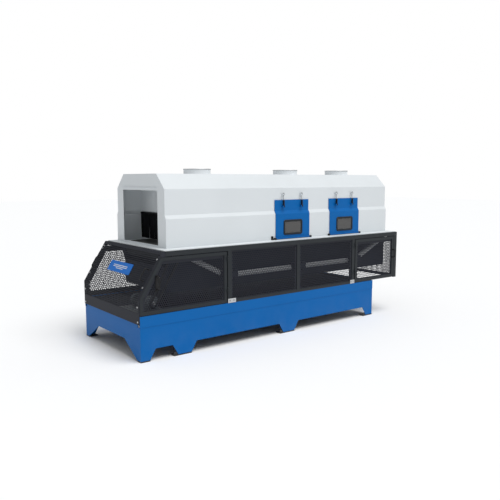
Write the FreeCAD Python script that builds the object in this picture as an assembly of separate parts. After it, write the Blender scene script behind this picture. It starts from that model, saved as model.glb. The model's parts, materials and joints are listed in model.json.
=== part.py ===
import FreeCAD, Part
import math
import os

# Enclosed belt tunnel: blue steel base on legs, dark perforated guards round the
# conveyor, a white extraction hood over the belt and two drop-down inspection doors.
# Lengths are in millimetres. Shapes are drawn with x from the left end, y from the
# front face and z from the floor; save() moves them so that the origin is on the
# floor under the middle of the machine.

Vec = FreeCAD.Vector
ALONG = Vec(1, 0, 0)
ACROSS = Vec(0, 1, 0)

# ---- driving dimensions -------------------------------------------------------
LENGTH = 3530          # over the guards
WIDTH = 1200           # over the guards, without handles
BASE_LENGTH = 3095
BASE_TOP = 416
GUARD_TOP = 974
SHEET = 3              # folded sheet metal

# base
PLATE = 5              # base side and end plates
RIM_HEIGHT = 100
RIM_FLANGE = 46
RIM_WEB = 6
RIM_PROUD = 3          # the rim stands this far outside the plates
SKIRT_Z = 108          # lower edge of the side plates between the legs
END_SKIRT_Z = 162
LEG_SLOPE = 58         # horizontal run of a leg's sloping edge
FOOT_THICK = 10
LEGS = [(0, 100), (393, 537), (1682, 1836), (2985, BASE_LENGTH)]
END_LEG = 71
END_LEG_SLOPE = 247
ANCHOR_R = 7
FOOT_TOE = 45          # how far a foot plate reaches past its leg
FOOT_DEEP = 70
ANCHOR_AT = (25, 35)   # anchor hole: short of the leg, and in from the front
UPRIGHT_Y = 16
UPRIGHT_TOP = 38
UPRIGHT_END = 60       # the upright runs this far behind the leg's edge
TRAY_Z = 400           # drip tray, just under the rim's flange
TRAY_BEAM = 60

# left end cover
COVER_BOTTOM = 341
KNEE_Z = 578
SLOPE_RUN = 246        # the slanted part leans in this far at the top
COVER_LIP = 22         # width of the cover's top fold
COVER_HANDLE_Z = (715, 812)
COVER_HANDLE_IN = 80   # from the side of the cover
NAME_Y = (380, 840)
NAME_Z = (730, 822)
SCREW_Z = [905, 665, 500, 366]
SCREW_IN = 30          # from the side of the cover
SCREW_R = 8
SCREW_HEAD = 5         # the heads stand out past the end, so they count in the overall length

# guards
POST = 45
RAIL = 45
DOOR_THICK = 20
DOOR_BAR = 33
MESH = 2
MESH_IN = 9            # mesh sheet sits this far behind the frame's face
POSTS_X = [958, 2724, LENGTH - 50]
MULLION_X = 1864
MULLION = 43
HINGE_GAP = 5.5        # hinge axis to the edge of the post
HINGE_OUT = 8          # hinge axis in front of the guard's face
HINGE_R = 8
PIN_R = 4
RUNNING = 0.05         # radial clearance of pins and shafts
HINGE_HEIGHT = 25
HINGE_Z = [520, 830]
SILL = 30
BASE_GAP = 6           # doors clear the base and the rail by this much
HOOP = 14              # slanted hoops behind the left doors
HOOP_GAP = 6           # hoop to door, and hoop to end cover
RAIL_START = 24        # the front rails start this far in from the cover
END_RAIL = 20          # and the left cross rail this much further
ANGLE = 24             # sill rails past the end of the base
PLATE_X = [(POSTS_X[0], 1052), (2700, POSTS_X[1] + POST)]
PLATE_Z = (2, 43)      # above the base
HINGE_LEAF = 28
DOOR_LEAF = 30
LEAF_THICK = 3

# door handles, beside the slanted edge and near the right end; the rear left door's
# handle follows its slanted edge
LEFT_HANDLE = (182, 642, 757)     # x, low z, high z
LEFT_HANDLE_BAR = ((168, 196), (625, 768))
LEFT_HANDLE_OUT = (42, 6)         # reach, rod radius
REAR_HANDLE_Z = (770, 870)
REAR_HANDLE_IN = 22    # from the slanted edge
RIGHT_HANDLE = (3455, 668, 760)
RIGHT_HANDLE_OUT = (38, 6)
COVER_HANDLE_OUT = (40, 5)

# hood
HOOD_X0 = 360
HOOD_X1 = 3478
HOOD_MID = 640         # y of the hood's middle
HOOD_HALF = 500        # lower walls
JOGGLE = 20            # upper walls stand this far in
JOGGLE_Z0 = 1250
JOGGLE_Z1 = 1285
SHOULDER_Z = 1524
CHAMFER = 143
TABLE_THICK = 6
TABLE_TOP = GUARD_TOP + TABLE_THICK
HOOD_TOP = SHOULDER_Z + CHAMFER
MOUTH_Y = (289, 991)
MOUTH_Z = (998, 1510)
MOUTH_FOLD = 8         # fold above each mouth, as far out
MOUTH_FOLD_Z = (1535, 1539)
HALF_BEND = math.radians(22.5)
TABLE_IN = 14          # the table stops this far inside the guards
TABLE_START = 26
COLLAR_WALL = 4
BAFFLE_X = [636, 3202]
BAFFLE_Z = 1275
CURTAIN_Z = 1262       # axis of the curtain rods
CURTAIN_BOTTOM = 1000
ROD_START = 164        # y of a curtain rod's near end
ROD_R = 5
HEADER_R = 9           # the curtain's hem round its rod
HANGER = 4
HANGER_Z = (1256, 1292)
STRIPS = 10
SLIT = 3
COLLAR_X = [1031, 2252, 3108]
COLLAR_R = 140
COLLAR_HEIGHT = 55
COLLAR_FLANGE = 16

# inspection doors in the hood
DOOR_X = [1924, 2730]
DOOR_HALF = 244
DOOR_Z0 = 984
DOOR_Z1 = 1398
DOOR_SHEET = 4
DOOR_GAP = 2           # door sheet to hood wall
HATCH_HALF = 220       # opening behind the door
HATCH_Z = (1002, 1380)
DROP_AXIS = (129, 991) # y, z of the bottom hinge
KNUCKLE_R = 7
WINDOW_Z = 1105
WINDOW = (271, 162)    # outside of the seal
WINDOW_HOLE = (247, 138)
PANE = (231, 122)
SIGHT = (225, 116)
LATCH_OFF = 131
LATCH_AXIS = (134, 1328)
LATCH_ROD_Y = 141
CATCH_Z = (1450, 1461)
CATCH_HALF = 18
CATCH_PLATE = 12       # the plate reaches this far past the prongs
PRONG = 5.5            # half the gap between the prongs
PRONG_OUT = 10
EAR = (9.5, 17)        # ears each side of the latch's pin, from its middle
EAR_HALF = 10
EAR_OUT = 8
LATCH_PIN_R = 3
LATCH_HALF = 8
LATCH_BARREL = 9
LATCH_ROD_R = 3.5
KNOB_R = 10
KNOB_HEIGHT = 14
KNOB_GAP = 0.4         # knob above the catch

# conveyor
TROUGH_Y = (150, 1000)
TROUGH_Z = (560, GUARD_TOP)
TROUGH_X = (370, 3468)
BELT_Y = (310, 970)
BELT_MARGIN = 8
TROUGH_WALL = 6
TROUGH_SHEET = 5
GUSSET = 130
GUSSET_Z = 790
TROUGH_END_Z = 800
BED_IN = 110           # the slider bed stops short of the drums
BED_BAR = 25
BED_BAR_DEEP = 34
BED_BARS = (0.02, 0.34, 0.66, 0.98)
DRUM_R = 75
BELT_THICK = 5
DRUM_Z = 910
DRUM_X = [450, 3388]
SHAFT_R = 20
BELT_GAP = 0.3         # belt to drum and chain to sprocket
CHAIN_PITCH = 19.05
CHAIN_THICK = 12       # the chain's band, with its rollers on the pitch circle
DRUM_TEETH = 15
MOTOR_TEETH = 10
CHAIN_Y = (112, 128)
MOTOR = (205, 482)     # x, z of the motor's axis
MOTOR_SHAFT_R = 12.5
WHEEL_IN = 3           # a sprocket is this much narrower than the chain, each side
GEARBOX_Y = (138, 250)
GEARBOX_HALF = 60
MOTOR_R = 58
MOTOR_END = 470
MOTOR_PLATE = 6

# truss tubes behind the guards
TRUSS_Y = 75
TRUSS_R = 27
TRUSS_Z = 684
TRUSS_BRACKETS = [(905, 1115), (1832, 2036), (2715, 2925)]
TRUSS_TOPS = [545, 3315]
CLAMP = 45             # width of a clamp block along the tube
CLAMP_HALF = 46        # half its height

OUT = "parts"
os.makedirs(OUT, exist_ok=True)


# ---- helpers ------------------------------------------------------------------
def box(x, y, z):
    """A block between the low and high value along each axis."""
    return Part.makeBox(x[1] - x[0], y[1] - y[0], z[1] - z[0], Vec(x[0], y[0], z[0]))


def rod(start, end, radius):
    """A round bar between two points."""
    a = Vec(*start)
    b = Vec(*end)
    return Part.makeCylinder(radius, (b - a).Length, a, b - a)


def plate_yz(points, x):
    """A flat plate with its outline in y and z, between two x values."""
    wire = Part.makePolygon([Vec(x[0], y, z) for y, z in points + points[:1]])
    return Part.Face(wire).extrude(Vec(x[1] - x[0], 0, 0))


def plate_xz(points, y):
    """A flat plate with its outline in x and z, between two y values."""
    wire = Part.makePolygon([Vec(x, y[0], z) for x, z in points + points[:1]])
    return Part.Face(wire).extrude(Vec(0, y[1] - y[0], 0))


def rounded(size, centre, y, radius):
    """A block with rounded corners seen from the front, about (x, z)."""
    half_x = size[0] / 2
    half_z = size[1] / 2
    block = box((centre[0] - half_x, centre[0] + half_x), y, (centre[1] - half_z, centre[1] + half_z))
    edges = [e for e in block.Edges if abs(e.tangentAt(e.FirstParameter).y) > 0.99]
    return block.makeFillet(radius, edges)


def cut(shape, *tools):
    for tool in tools:
        shape = shape.cut(tool)
    return shape


def join(*shapes):
    return shapes[0].fuse(list(shapes[1:])).removeSplitter()


def mirrored(shape):
    """The same shape on the rear side."""
    return shape.mirror(Vec(0, WIDTH / 2, 0), ACROSS)


def save(name, *shapes):
    solids = []
    for shape in shapes:
        solids += shape.Solids
    moved = []
    for solid in solids:
        copy = solid.copy()
        copy.translate(Vec(-(LENGTH - SCREW_HEAD) / 2, -WIDTH / 2, 0))
        moved.append(copy)
    whole = moved[0] if len(moved) == 1 else Part.makeCompound(moved)
    assert whole.isValid(), name
    whole.exportStep(os.path.join(OUT, name + ".step"))
    print(name, len(moved), "solids")


# ---- base ---------------------------------------------------------------------
def base_panels():
    """Side plates with four legs each, and end plates with a leg at each corner."""
    top = BASE_TOP - RIM_HEIGHT
    left = RIM_PROUD + SHEET
    outline = [(left, top)]
    for low, high in LEGS:
        if low > 0:
            outline += [(low - LEG_SLOPE, SKIRT_Z), (low, FOOT_THICK)]
        else:
            outline += [(left, FOOT_THICK)]
        outline += [(high, FOOT_THICK)]
        if high < BASE_LENGTH:
            outline += [(high + LEG_SLOPE, SKIRT_Z)]
    outline += [(BASE_LENGTH, top)]
    side = plate_xz(outline, (RIM_PROUD, RIM_PROUD + PLATE))
    save("base_front_panel", side)
    save("base_rear_panel", mirrored(side))

    near = RIM_PROUD + PLATE
    far = WIDTH - near
    end = [(near, top), (near, FOOT_THICK), (END_LEG, FOOT_THICK)]
    end += [(END_LEG + END_LEG_SLOPE, END_SKIRT_Z), (WIDTH - END_LEG - END_LEG_SLOPE, END_SKIRT_Z)]
    end += [(WIDTH - END_LEG, FOOT_THICK), (far, FOOT_THICK), (far, top)]
    save("base_left_end", plate_yz(end, (left, left + PLATE)))
    save("base_right_end", plate_yz(end, (BASE_LENGTH - PLATE, BASE_LENGTH)))


def base_rim():
    """Angle rails round the top of the base."""
    z = (BASE_TOP - RIM_HEIGHT, BASE_TOP)
    flange_z = (BASE_TOP - RIM_WEB, BASE_TOP)
    x = (SHEET + 1, BASE_LENGTH)
    front = join(box(x, (0, RIM_WEB), z), box(x, (0, RIM_FLANGE), flange_z))
    across = (RIM_FLANGE, WIDTH - RIM_FLANGE)
    left = join(
        box((x[0], x[0] + RIM_WEB), across, z),
        box((x[0], RIM_FLANGE), across, flange_z),
    )
    right = left.mirror(Vec((x[0] + x[1]) / 2, 0, 0), ALONG)
    save("base_rim", front, mirrored(front), left, right)


def base_tray():
    """Drip tray between the rim's rails, on three cross beams."""
    x = (SHEET + 1 + RIM_WEB, BASE_LENGTH - RIM_WEB)
    y = (RIM_WEB, WIDTH - RIM_WEB)
    tray = box(x, y, (TRAY_Z, TRAY_Z + SHEET))
    beams = []
    for low, high in LEGS[1:3] + [(LEGS[3][0] - TRAY_BEAM, LEGS[3][0])]:
        middle = (low + high) / 2
        width = (middle - TRAY_BEAM / 2, middle + TRAY_BEAM / 2)
        beams.append(box(width, y, (TRAY_Z - TRAY_BEAM, TRAY_Z)))
    save("base_tray", tray, *beams)


def feet():
    """Foot plates under the legs, with an anchor hole in the toe and a small upright."""
    shapes = []
    for low, high in LEGS:
        toe = low - FOOT_TOE if low > 0 else RIM_PROUD + SHEET
        foot = box((toe, high), (0, FOOT_DEEP), (0, FOOT_THICK))
        if low > 0:
            x = low - ANCHOR_AT[0]
            y = ANCHOR_AT[1]
            hole = rod((x, y, -1), (x, y, FOOT_THICK + 1), ANCHOR_R)
            upright_y = (RIM_PROUD + PLATE, UPRIGHT_Y)
            upright = box((toe, low + UPRIGHT_END), upright_y, (FOOT_THICK, UPRIGHT_TOP))
            foot = cut(join(foot, upright), hole)
        shapes += [foot, mirrored(foot)]
    save("machine_feet", *shapes)


# ---- guards -------------------------------------------------------------------
def profile_x(z, inset=0):
    """x of the left end's outer face at height z, moved inwards by inset."""
    if z <= KNEE_Z:
        return inset
    slope = SLOPE_RUN / (GUARD_TOP - KNEE_Z)
    return slope * (z - KNEE_Z) + inset * math.hypot(1, slope)


def knee_z(inset):
    """Height at which the vertical and the slanted part meet, at this inset."""
    angle = math.atan2(SLOPE_RUN, GUARD_TOP - KNEE_Z)
    return KNEE_Z - inset * math.tan(angle / 2)


def slanted_band(inset, thick, low, high, y):
    """A band that follows the left end's profile, inset to inset + thick."""
    outer = [(profile_x(0, inset), low), (inset, knee_z(inset)), (profile_x(high, inset), high)]
    deep = inset + thick
    inner = [(profile_x(high, deep), high), (deep, knee_z(deep)), (deep, low)]
    return plate_xz(outer + inner, y)


def guard_frame():
    """Rails, posts and sills that stay put round the conveyor."""
    z = (GUARD_TOP - RAIL, GUARD_TOP)
    start = profile_x(GUARD_TOP, RAIL_START)
    front = box((start, LENGTH), (0, RAIL), z)
    right = box((LENGTH - RAIL, LENGTH), (RAIL, WIDTH - RAIL), z)
    cross = start + END_RAIL
    left = box((cross, cross + RAIL), (RAIL, WIDTH - RAIL), z)
    save("guard_top_rails", front, mirrored(front), right, left)

    posts = []
    for x in POSTS_X:
        width = POST if x < POSTS_X[-1] else LENGTH - x
        low = BASE_TOP
        post = box((x, x + width), (0, POST), (low, z[0]))
        posts += [post, mirrored(post)]
    hoop_y = (DOOR_THICK + HOOP_GAP, DOOR_THICK + HOOP_GAP + HOOP)
    upper = slanted_band(HOOP_GAP, HOOP, BASE_TOP, z[0], hoop_y)
    posts += [upper, mirrored(upper)]
    save("guard_posts", *posts)

    low = (BASE_TOP, BASE_TOP + SILL)
    inner = POSTS_X[0] + POST
    sill = box((inner, POSTS_X[1]), (0, DOOR_THICK), low)
    mullion = box((MULLION_X, MULLION_X + MULLION), (0, POST), (low[1], z[0]))
    angle_z = (BASE_TOP, BASE_TOP + ANGLE)
    overhang = box((BASE_LENGTH, POSTS_X[-1]), (ANGLE, POST), angle_z)
    end = box((LENGTH - ANGLE, LENGTH), (POST, WIDTH - POST), angle_z)
    save("guard_sills", sill, mirrored(sill), mullion, mirrored(mullion),
         overhang, mirrored(overhang), end)

    y = (MESH_IN, MESH_IN + MESH)
    sheets = []
    for x in [(inner, MULLION_X), (MULLION_X + MULLION, POSTS_X[1])]:
        sheet = box(x, y, (low[1], z[0]))
        sheets += [sheet, mirrored(sheet)]
    end_x = LENGTH - MESH_IN
    sheets.append(box((end_x - MESH, end_x), (POST, WIDTH - POST), (angle_z[1], z[0])))
    save("fixed_mesh_panels", *sheets)

    plates = []
    for x in PLATE_X:
        plate = box(x, (-LEAF_THICK, 0), (BASE_TOP + PLATE_Z[0], BASE_TOP + PLATE_Z[1]))
        plates += [plate, mirrored(plate)]
    save("post_plates", *plates)


def hinge_axis_x(side):
    return POSTS_X[0] - HINGE_GAP if side == "left" else POSTS_X[1] + POST + HINGE_GAP


def fixed_hinges():
    """Leaves with upright pins on the posts, two to a door."""
    shapes = []
    leaves = [("left", POSTS_X[0] + HINGE_LEAF), ("right", POSTS_X[1] + POST - HINGE_LEAF)]
    for side, x_leaf in leaves:
        x = hinge_axis_x(side)
        for z in HINGE_Z:
            barrel = rod((x, -HINGE_OUT, z), (x, -HINGE_OUT, z + HINGE_HEIGHT), HINGE_R)
            pin = rod((x, -HINGE_OUT, z), (x, -HINGE_OUT, z + 2 * HINGE_HEIGHT), PIN_R)
            leaf = box(sorted((x, x_leaf)), (-3, 0), (z, z + HINGE_HEIGHT))
            hinge = join(barrel, pin, leaf)
            shapes += [hinge, mirrored(hinge)]
    save("guard_hinge_pins", *shapes)


def bow_handle(foot_a, foot_b, out, reach, radius):
    """A round-bar pull handle: two legs that stand out and a bar between them."""
    a = Vec(*foot_a)
    b = Vec(*foot_b)
    lift = Vec(*out) * reach
    bend = 3 * radius
    along = (b - a).normalize() * bend
    back = Vec(*out) * bend
    inner = bend * (1 - math.sqrt(0.5))
    edges = [Part.makeLine(a, a + lift - back)]
    middle = a + lift + along.normalize() * inner - Vec(*out) * inner
    along = (b - a).normalize() * bend
    edges.append(Part.Arc(a + lift - back, middle, a + lift + along).toShape())
    edges.append(Part.makeLine(a + lift + along, b + lift - along))
    middle = b + lift - (b - a).normalize() * inner - Vec(*out) * inner
    edges.append(Part.Arc(b + lift - along, middle, b + lift - back).toShape())
    edges.append(Part.makeLine(b + lift - back, b))
    path = Part.Wire(edges)
    ring = Part.Wire(Part.makeCircle(radius, a, Vec(*out)))
    bar = path.makePipeShell([ring], True, False)
    flange_a = Part.makeCylinder(2 * radius, radius / 2, a, Vec(*out))
    flange_b = Part.makeCylinder(2 * radius, radius / 2, b, Vec(*out))
    return join(bar, flange_a, flange_b)


def door_leaf(side):
    """Frame and mesh of one guard door, on the front side."""
    low = BASE_TOP + BASE_GAP
    high = GUARD_TOP - RAIL - BASE_GAP
    bottom = low + DOOR_BAR
    top = high - DOOR_BAR
    y = (0, DOOR_THICK)
    axis = hinge_axis_x(side)
    if side == "left":
        edge = axis - HINGE_GAP
        inset = 6
        outer = [(inset, low), (inset, knee_z(inset)), (profile_x(high, inset), high)]
        outer += [(edge, high), (edge, low)]
        deep = inset + DOOR_BAR
        hole = [(deep, bottom), (deep, knee_z(deep)), (profile_x(top, deep), top)]
        hole += [(edge - DOOR_BAR, top), (edge - DOOR_BAR, bottom)]
        leaf_x = (axis - DOOR_LEAF, axis)
    else:
        edge = axis + HINGE_GAP
        far = POSTS_X[-1] - BASE_GAP
        outer = [(edge, low), (edge, high), (far, high), (far, low)]
        hole = [(edge + DOOR_BAR, bottom), (edge + DOOR_BAR, top)]
        hole += [(far - DOOR_BAR, top), (far - DOOR_BAR, bottom)]
        leaf_x = (axis, axis + DOOR_LEAF)
    frame = cut(plate_xz(outer, y), plate_xz(hole, (-1, DOOR_THICK + 1)))
    mesh = plate_xz(hole, (MESH_IN, MESH_IN + MESH))
    for z in HINGE_Z:
        start = z + HINGE_HEIGHT + 0.5
        end = start + HINGE_HEIGHT
        barrel = rod((axis, -HINGE_OUT, start), (axis, -HINGE_OUT, end), HINGE_R)
        leaf = box(leaf_x, (-LEAF_THICK, 0), (start, end))
        bore = rod((axis, -HINGE_OUT, z), (axis, -HINGE_OUT, end + 1), PIN_R + RUNNING)
        frame = cut(join(frame, barrel, leaf), bore)
    return frame, mesh


def guard_doors():
    for side in ["left", "right"]:
        frame, mesh = door_leaf(side)
        if side == "left":
            # beside the slanted edge, on a short flat bar welded across the mesh
            x, low, high = LEFT_HANDLE
            bow = bow_handle((x, 0, low), (x, 0, high), (0, -1, 0), *LEFT_HANDLE_OUT)
            bar = box(LEFT_HANDLE_BAR[0], (0, MESH_IN), LEFT_HANDLE_BAR[1])
            handle = join(bow, bar)
        else:
            x, low, high = RIGHT_HANDLE
            handle = bow_handle((x, 0, low), (x, 0, high), (0, -1, 0), *RIGHT_HANDLE_OUT)
        for part, shape in [("frame", frame), ("mesh", mesh), ("handle", handle)]:
            save("front_" + side + "_door_" + part, shape)
            if (side, part) == ("left", "handle"):
                feet_at = [(profile_x(z, REAR_HANDLE_IN), 0, z) for z in REAR_HANDLE_Z]
                shape = bow_handle(*feet_at, (0, -1, 0), *LEFT_HANDLE_OUT)
            save("rear_" + side + "_door_" + part, mirrored(shape))


def left_end_cover():
    """Perforated cover that leans in above the knee, with two pull handles."""
    y = (0, WIDTH)
    sheet = slanted_band(0, SHEET, COVER_BOTTOM, GUARD_TOP - SHEET, y)
    lip_x = profile_x(GUARD_TOP - SHEET, 0)
    lip = box((lip_x, lip_x + COVER_LIP), y, (GUARD_TOP - SHEET, GUARD_TOP))
    save("left_end_cover", join(sheet, lip))

    angle = math.atan2(SLOPE_RUN, GUARD_TOP - KNEE_Z)
    normal = (-math.cos(angle), 0, math.sin(angle))
    handles = []
    for near in (COVER_HANDLE_IN, WIDTH - COVER_HANDLE_IN):
        low, high = [(profile_x(z), near, z) for z in COVER_HANDLE_Z]
        handles.append(bow_handle(low, high, normal, *COVER_HANDLE_OUT))
    save("end_cover_handles", *handles)

    screws = []
    for z in SCREW_Z:
        out = normal if z > KNEE_Z else (-1, 0, 0)
        for near in (SCREW_IN, WIDTH - SCREW_IN):
            screws.append(Part.makeCylinder(SCREW_R, SCREW_HEAD, Vec(profile_x(z), near, z), Vec(*out)))
    save("end_cover_screws", *screws)

    back = [(profile_x(z), z) for z in NAME_Z]
    face = [(x + normal[0] * SHEET, z + normal[2] * SHEET) for x, z in reversed(back)]
    save("name_plate", plate_xz(back + face, NAME_Y))


# ---- hood ---------------------------------------------------------------------
def hood_profile(inset):
    """Half outline of the hood from the table up to the roof, as y and z."""
    tan_c = math.tan(HALF_BEND)
    y0 = HOOD_MID - HOOD_HALF + inset
    return [
        (y0, TABLE_TOP),
        (y0, JOGGLE_Z0),
        (y0 + JOGGLE, JOGGLE_Z1),
        (y0 + JOGGLE, SHOULDER_Z - inset * tan_c),
        (y0 + JOGGLE + CHAMFER - inset * (1 - tan_c), HOOD_TOP - inset),
    ]


def across_hood(points):
    """The same points on the hood's rear half, in the other order."""
    return [(2 * HOOD_MID - y, z) for y, z in reversed(points)]


def hatch_cutters():
    cutters = []
    for x in DOOR_X:
        y = (HOOD_MID - HOOD_HALF - 10, HOOD_MID - HOOD_HALF + 60)
        cutters.append(box((x - HATCH_HALF, x + HATCH_HALF), y, HATCH_Z))
    return cutters


def hood_shell():
    outer = hood_profile(0)
    inner = hood_profile(SHEET)
    x = (HOOD_X0 + SHEET, HOOD_X1 - SHEET)
    wall = plate_yz(outer[:3] + inner[2::-1], x)
    front = cut(wall, *hatch_cutters())
    rear = wall.mirror(Vec(0, HOOD_MID, 0), ACROSS)
    save("hood_front_wall", front)
    save("hood_rear_wall", rear)

    roof_outer = outer[2:] + across_hood(outer[2:])
    roof_inner = inner[2:] + across_hood(inner[2:])
    roof = plate_yz(roof_outer + roof_inner[::-1], x)
    holes = []
    for cx in COLLAR_X:
        bottom = (cx, HOOD_MID, HOOD_TOP - 20)
        holes.append(rod(bottom, (cx, HOOD_MID, HOOD_TOP + 20), COLLAR_R - COLLAR_WALL))
    save("hood_roof", cut(roof, *(holes + hatch_cutters())))

    full = outer + across_hood(outer)
    mouth = box((0, LENGTH), MOUTH_Y, MOUTH_Z)
    for name, low, out in [("hood_left_end", HOOD_X0, -1), ("hood_right_end", HOOD_X1 - SHEET, 1)]:
        end = cut(plate_yz(full, (low, low + SHEET)), mouth)
        face = low if out < 0 else low + SHEET
        fold = box(sorted((face, face + MOUTH_FOLD * out)), MOUTH_Y, MOUTH_FOLD_Z)
        save(name, join(end, fold))


def hood_table():
    """White table plate under the hood, open over the belt."""
    x = (profile_x(GUARD_TOP) + TABLE_START, LENGTH - TABLE_IN + 2)
    plate = box(x, (TABLE_IN, WIDTH - TABLE_IN), (GUARD_TOP, TABLE_TOP))
    gap_x = (TROUGH_X[0] + BELT_MARGIN, TROUGH_X[1] - BELT_MARGIN)
    gap_y = (BELT_Y[0] - BELT_MARGIN - 2, BELT_Y[1] + BELT_MARGIN + 2)
    gap = box(gap_x, gap_y, (0, HOOD_TOP))
    save("hood_table", cut(plate, gap))


def baffles_and_curtains():
    """Cross walls inside the hood, each with a rod that carries a strip curtain."""
    inner = hood_profile(SHEET + 1)[3:]
    edge = inner[0][0]
    start = JOGGLE_Z1 + 2
    outline = [(edge, start)] + inner
    outline = outline + across_hood(outline)
    narrow = (edge + 6, 2 * HOOD_MID - edge - 6)
    rod_y = (ROD_START, 2 * HOOD_MID - ROD_START)
    solids = []
    for index, x in enumerate(BAFFLE_X):
        plate = plate_yz(outline, (x, x + SHEET))
        foot = box((x, x + SHEET), narrow, (BAFFLE_Z, start))
        wall = join(plate, foot)
        axis = curtain_x(index)
        reach = axis + (HEADER_R if axis > x else -HEADER_R)
        hangers = [rod((axis, rod_y[0], CURTAIN_Z), (axis, rod_y[1], CURTAIN_Z), ROD_R)]
        for near in (rod_y[0], rod_y[1] - HANGER):
            hangers.append(box(sorted((x, reach)), (near, near + HANGER), HANGER_Z))
        solids += [wall, cut(join(*hangers), wall)]
    save("hood_baffles", *solids)

    for index, name in enumerate(["entry_curtain", "exit_curtain"]):
        x = curtain_x(index)
        y = (ROD_START + 7, 2 * HOOD_MID - ROD_START - 7)
        header = rod((x, y[0], CURTAIN_Z), (x, y[1], CURTAIN_Z), HEADER_R)
        pitch = (y[1] - y[0]) / STRIPS
        strips = []
        for i in range(STRIPS):
            start = y[0] + i * pitch
            width = (start + SLIT / 2, start + pitch - SLIT / 2)
            strips.append(box((x - 2, x + 2), width, (CURTAIN_BOTTOM, CURTAIN_Z)))
        bore = rod((x, 0, CURTAIN_Z), (x, WIDTH, CURTAIN_Z), ROD_R + RUNNING)
        save(name, cut(join(header, *strips), bore))


def curtain_x(index):
    """x of a curtain rod: on the tunnel's outer side of its baffle."""
    return BAFFLE_X[index] - 14 if index == 0 else BAFFLE_X[index] + SHEET + 14


def duct_collars():
    """Round spigots on the roof, each on a flat flange."""
    shapes = []
    for x in COLLAR_X:
        foot = (x, HOOD_MID, HOOD_TOP)
        tube = Part.makeCylinder(COLLAR_R, COLLAR_HEIGHT, Vec(*foot))
        flange = Part.makeCylinder(COLLAR_R + COLLAR_FLANGE, SHEET, Vec(*foot))
        bore = Part.makeCylinder(COLLAR_R - SHEET, COLLAR_HEIGHT + 2, Vec(x, HOOD_MID, HOOD_TOP - 1))
        shapes.append(cut(join(tube, flange), bore))
    save("duct_collars", *shapes)


# ---- inspection doors ---------------------------------------------------------
def inspection_door(name, x):
    wall = hood_profile(0)
    out = DOOR_GAP + DOOR_SHEET
    faces = []
    for back in (out, DOOR_GAP):
        faces.append([
            (wall[0][0] - back, DOOR_Z0 + KNUCKLE_R),
            (wall[1][0] - back, JOGGLE_Z0),
            (wall[2][0] - back, JOGGLE_Z1),
            (wall[2][0] - back, DOOR_Z1),
        ])
    span = (x - DOOR_HALF, x + DOOR_HALF)
    sheet = plate_yz(faces[0] + faces[1][::-1], span)
    knuckle = rod((span[0], *DROP_AXIS), (span[1], *DROP_AXIS), KNUCKLE_R)
    hole = rounded(WINDOW_HOLE, (x, WINDOW_Z), (100, 200), 16)
    door = cut(join(sheet, knuckle), hole)
    bore = rod((span[0] - 1, *DROP_AXIS), (span[1] + 1, *DROP_AXIS), PIN_R + RUNNING)
    door = cut(door, bore)
    face = wall[2][0] - out
    ear_z = (LATCH_AXIS[1] - EAR_HALF, LATCH_AXIS[1] + EAR_HALF)
    for off in (-LATCH_OFF, LATCH_OFF):
        near = x + off
        for ear in ((-EAR[1], -EAR[0]), EAR):
            ear_x = (near + ear[0], near + ear[1])
            door = join(door, box(ear_x, (LATCH_AXIS[0] - EAR_OUT, face), ear_z))
        pin = rod((near - EAR[1], *LATCH_AXIS), (near + EAR[1], *LATCH_AXIS), LATCH_PIN_R)
        door = join(door, pin)
    save(name + "_inspection_door", door)

    front = wall[0][0] - out
    flange = rounded(WINDOW, (x, WINDOW_Z), (front - 7, front), 24)
    neck = rounded(WINDOW_HOLE, (x, WINDOW_Z), (front, front + 8), 16)
    sight = rounded(SIGHT, (x, WINDOW_Z), (100, 200), 12)
    pocket = rounded(PANE, (x, WINDOW_Z), (front, front + 20), 14)
    save(name + "_window_seal", cut(join(flange, neck), sight, pocket))
    save(name + "_window_pane", rounded(PANE, (x, WINDOW_Z), (front, front + 4), 14))


def latch(name, x):
    """Swing bolt: a lever on a cross pin, with a rod and a knob that seats on the catch."""
    barrel = rod((x - LATCH_BARREL, *LATCH_AXIS), (x + LATCH_BARREL, *LATCH_AXIS), LATCH_HALF)
    lever_top = DOOR_Z1 - 2
    lever_y = (LATCH_AXIS[0] - 6, LATCH_ROD_Y + 7)
    lever = box((x - LATCH_HALF, x + LATCH_HALF), lever_y, (LATCH_AXIS[1], lever_top))
    low = CATCH_Z[1] + KNOB_GAP
    high = CATCH_Z[1] + KNOB_HEIGHT
    bar = rod((x, LATCH_ROD_Y, lever_top), (x, LATCH_ROD_Y, low + 1), LATCH_ROD_R)
    knob = rod((x, LATCH_ROD_Y, low), (x, LATCH_ROD_Y, high), KNOB_R)
    bore_x = (x - LATCH_BARREL - 1, x + LATCH_BARREL + 1)
    bore = rod((bore_x[0], *LATCH_AXIS), (bore_x[1], *LATCH_AXIS), LATCH_PIN_R + RUNNING)
    save(name, cut(join(barrel, lever, bar, knob), bore))


def hood_hardware():
    """Hinge blocks and latch catches fixed to the hood."""
    wall = HOOD_MID - HOOD_HALF
    face = wall + JOGGLE
    blocks = []
    catches = []
    for x in DOOR_X:
        for side in (-1, 1):
            edge = x + side * DOOR_HALF
            near = edge + 1.5 * side
            block = box(sorted((near, near + 20 * side)), (118, wall), (TABLE_TOP, TABLE_TOP + 21))
            pin = rod((near, *DROP_AXIS), (edge - 22 * side, *DROP_AXIS), PIN_R)
            blocks.append(join(block, pin))
            cx = x + side * LATCH_OFF
            plate_x = (cx - CATCH_HALF, cx + CATCH_HALF)
            plate_z = (CATCH_Z[0] - CATCH_PLATE, CATCH_Z[1] + CATCH_PLATE)
            plate = box(plate_x, (face - SHEET, face), plate_z)
            prongs = []
            for low, high in ((-CATCH_HALF, -PRONG), (PRONG, CATCH_HALF)):
                prongs.append(box((cx + low, cx + high), (LATCH_ROD_Y - PRONG_OUT, face), CATCH_Z))
            catches.append(join(plate, *prongs))
    save("inspection_hinge_pins", *blocks)
    save("latch_catches", *catches)


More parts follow.
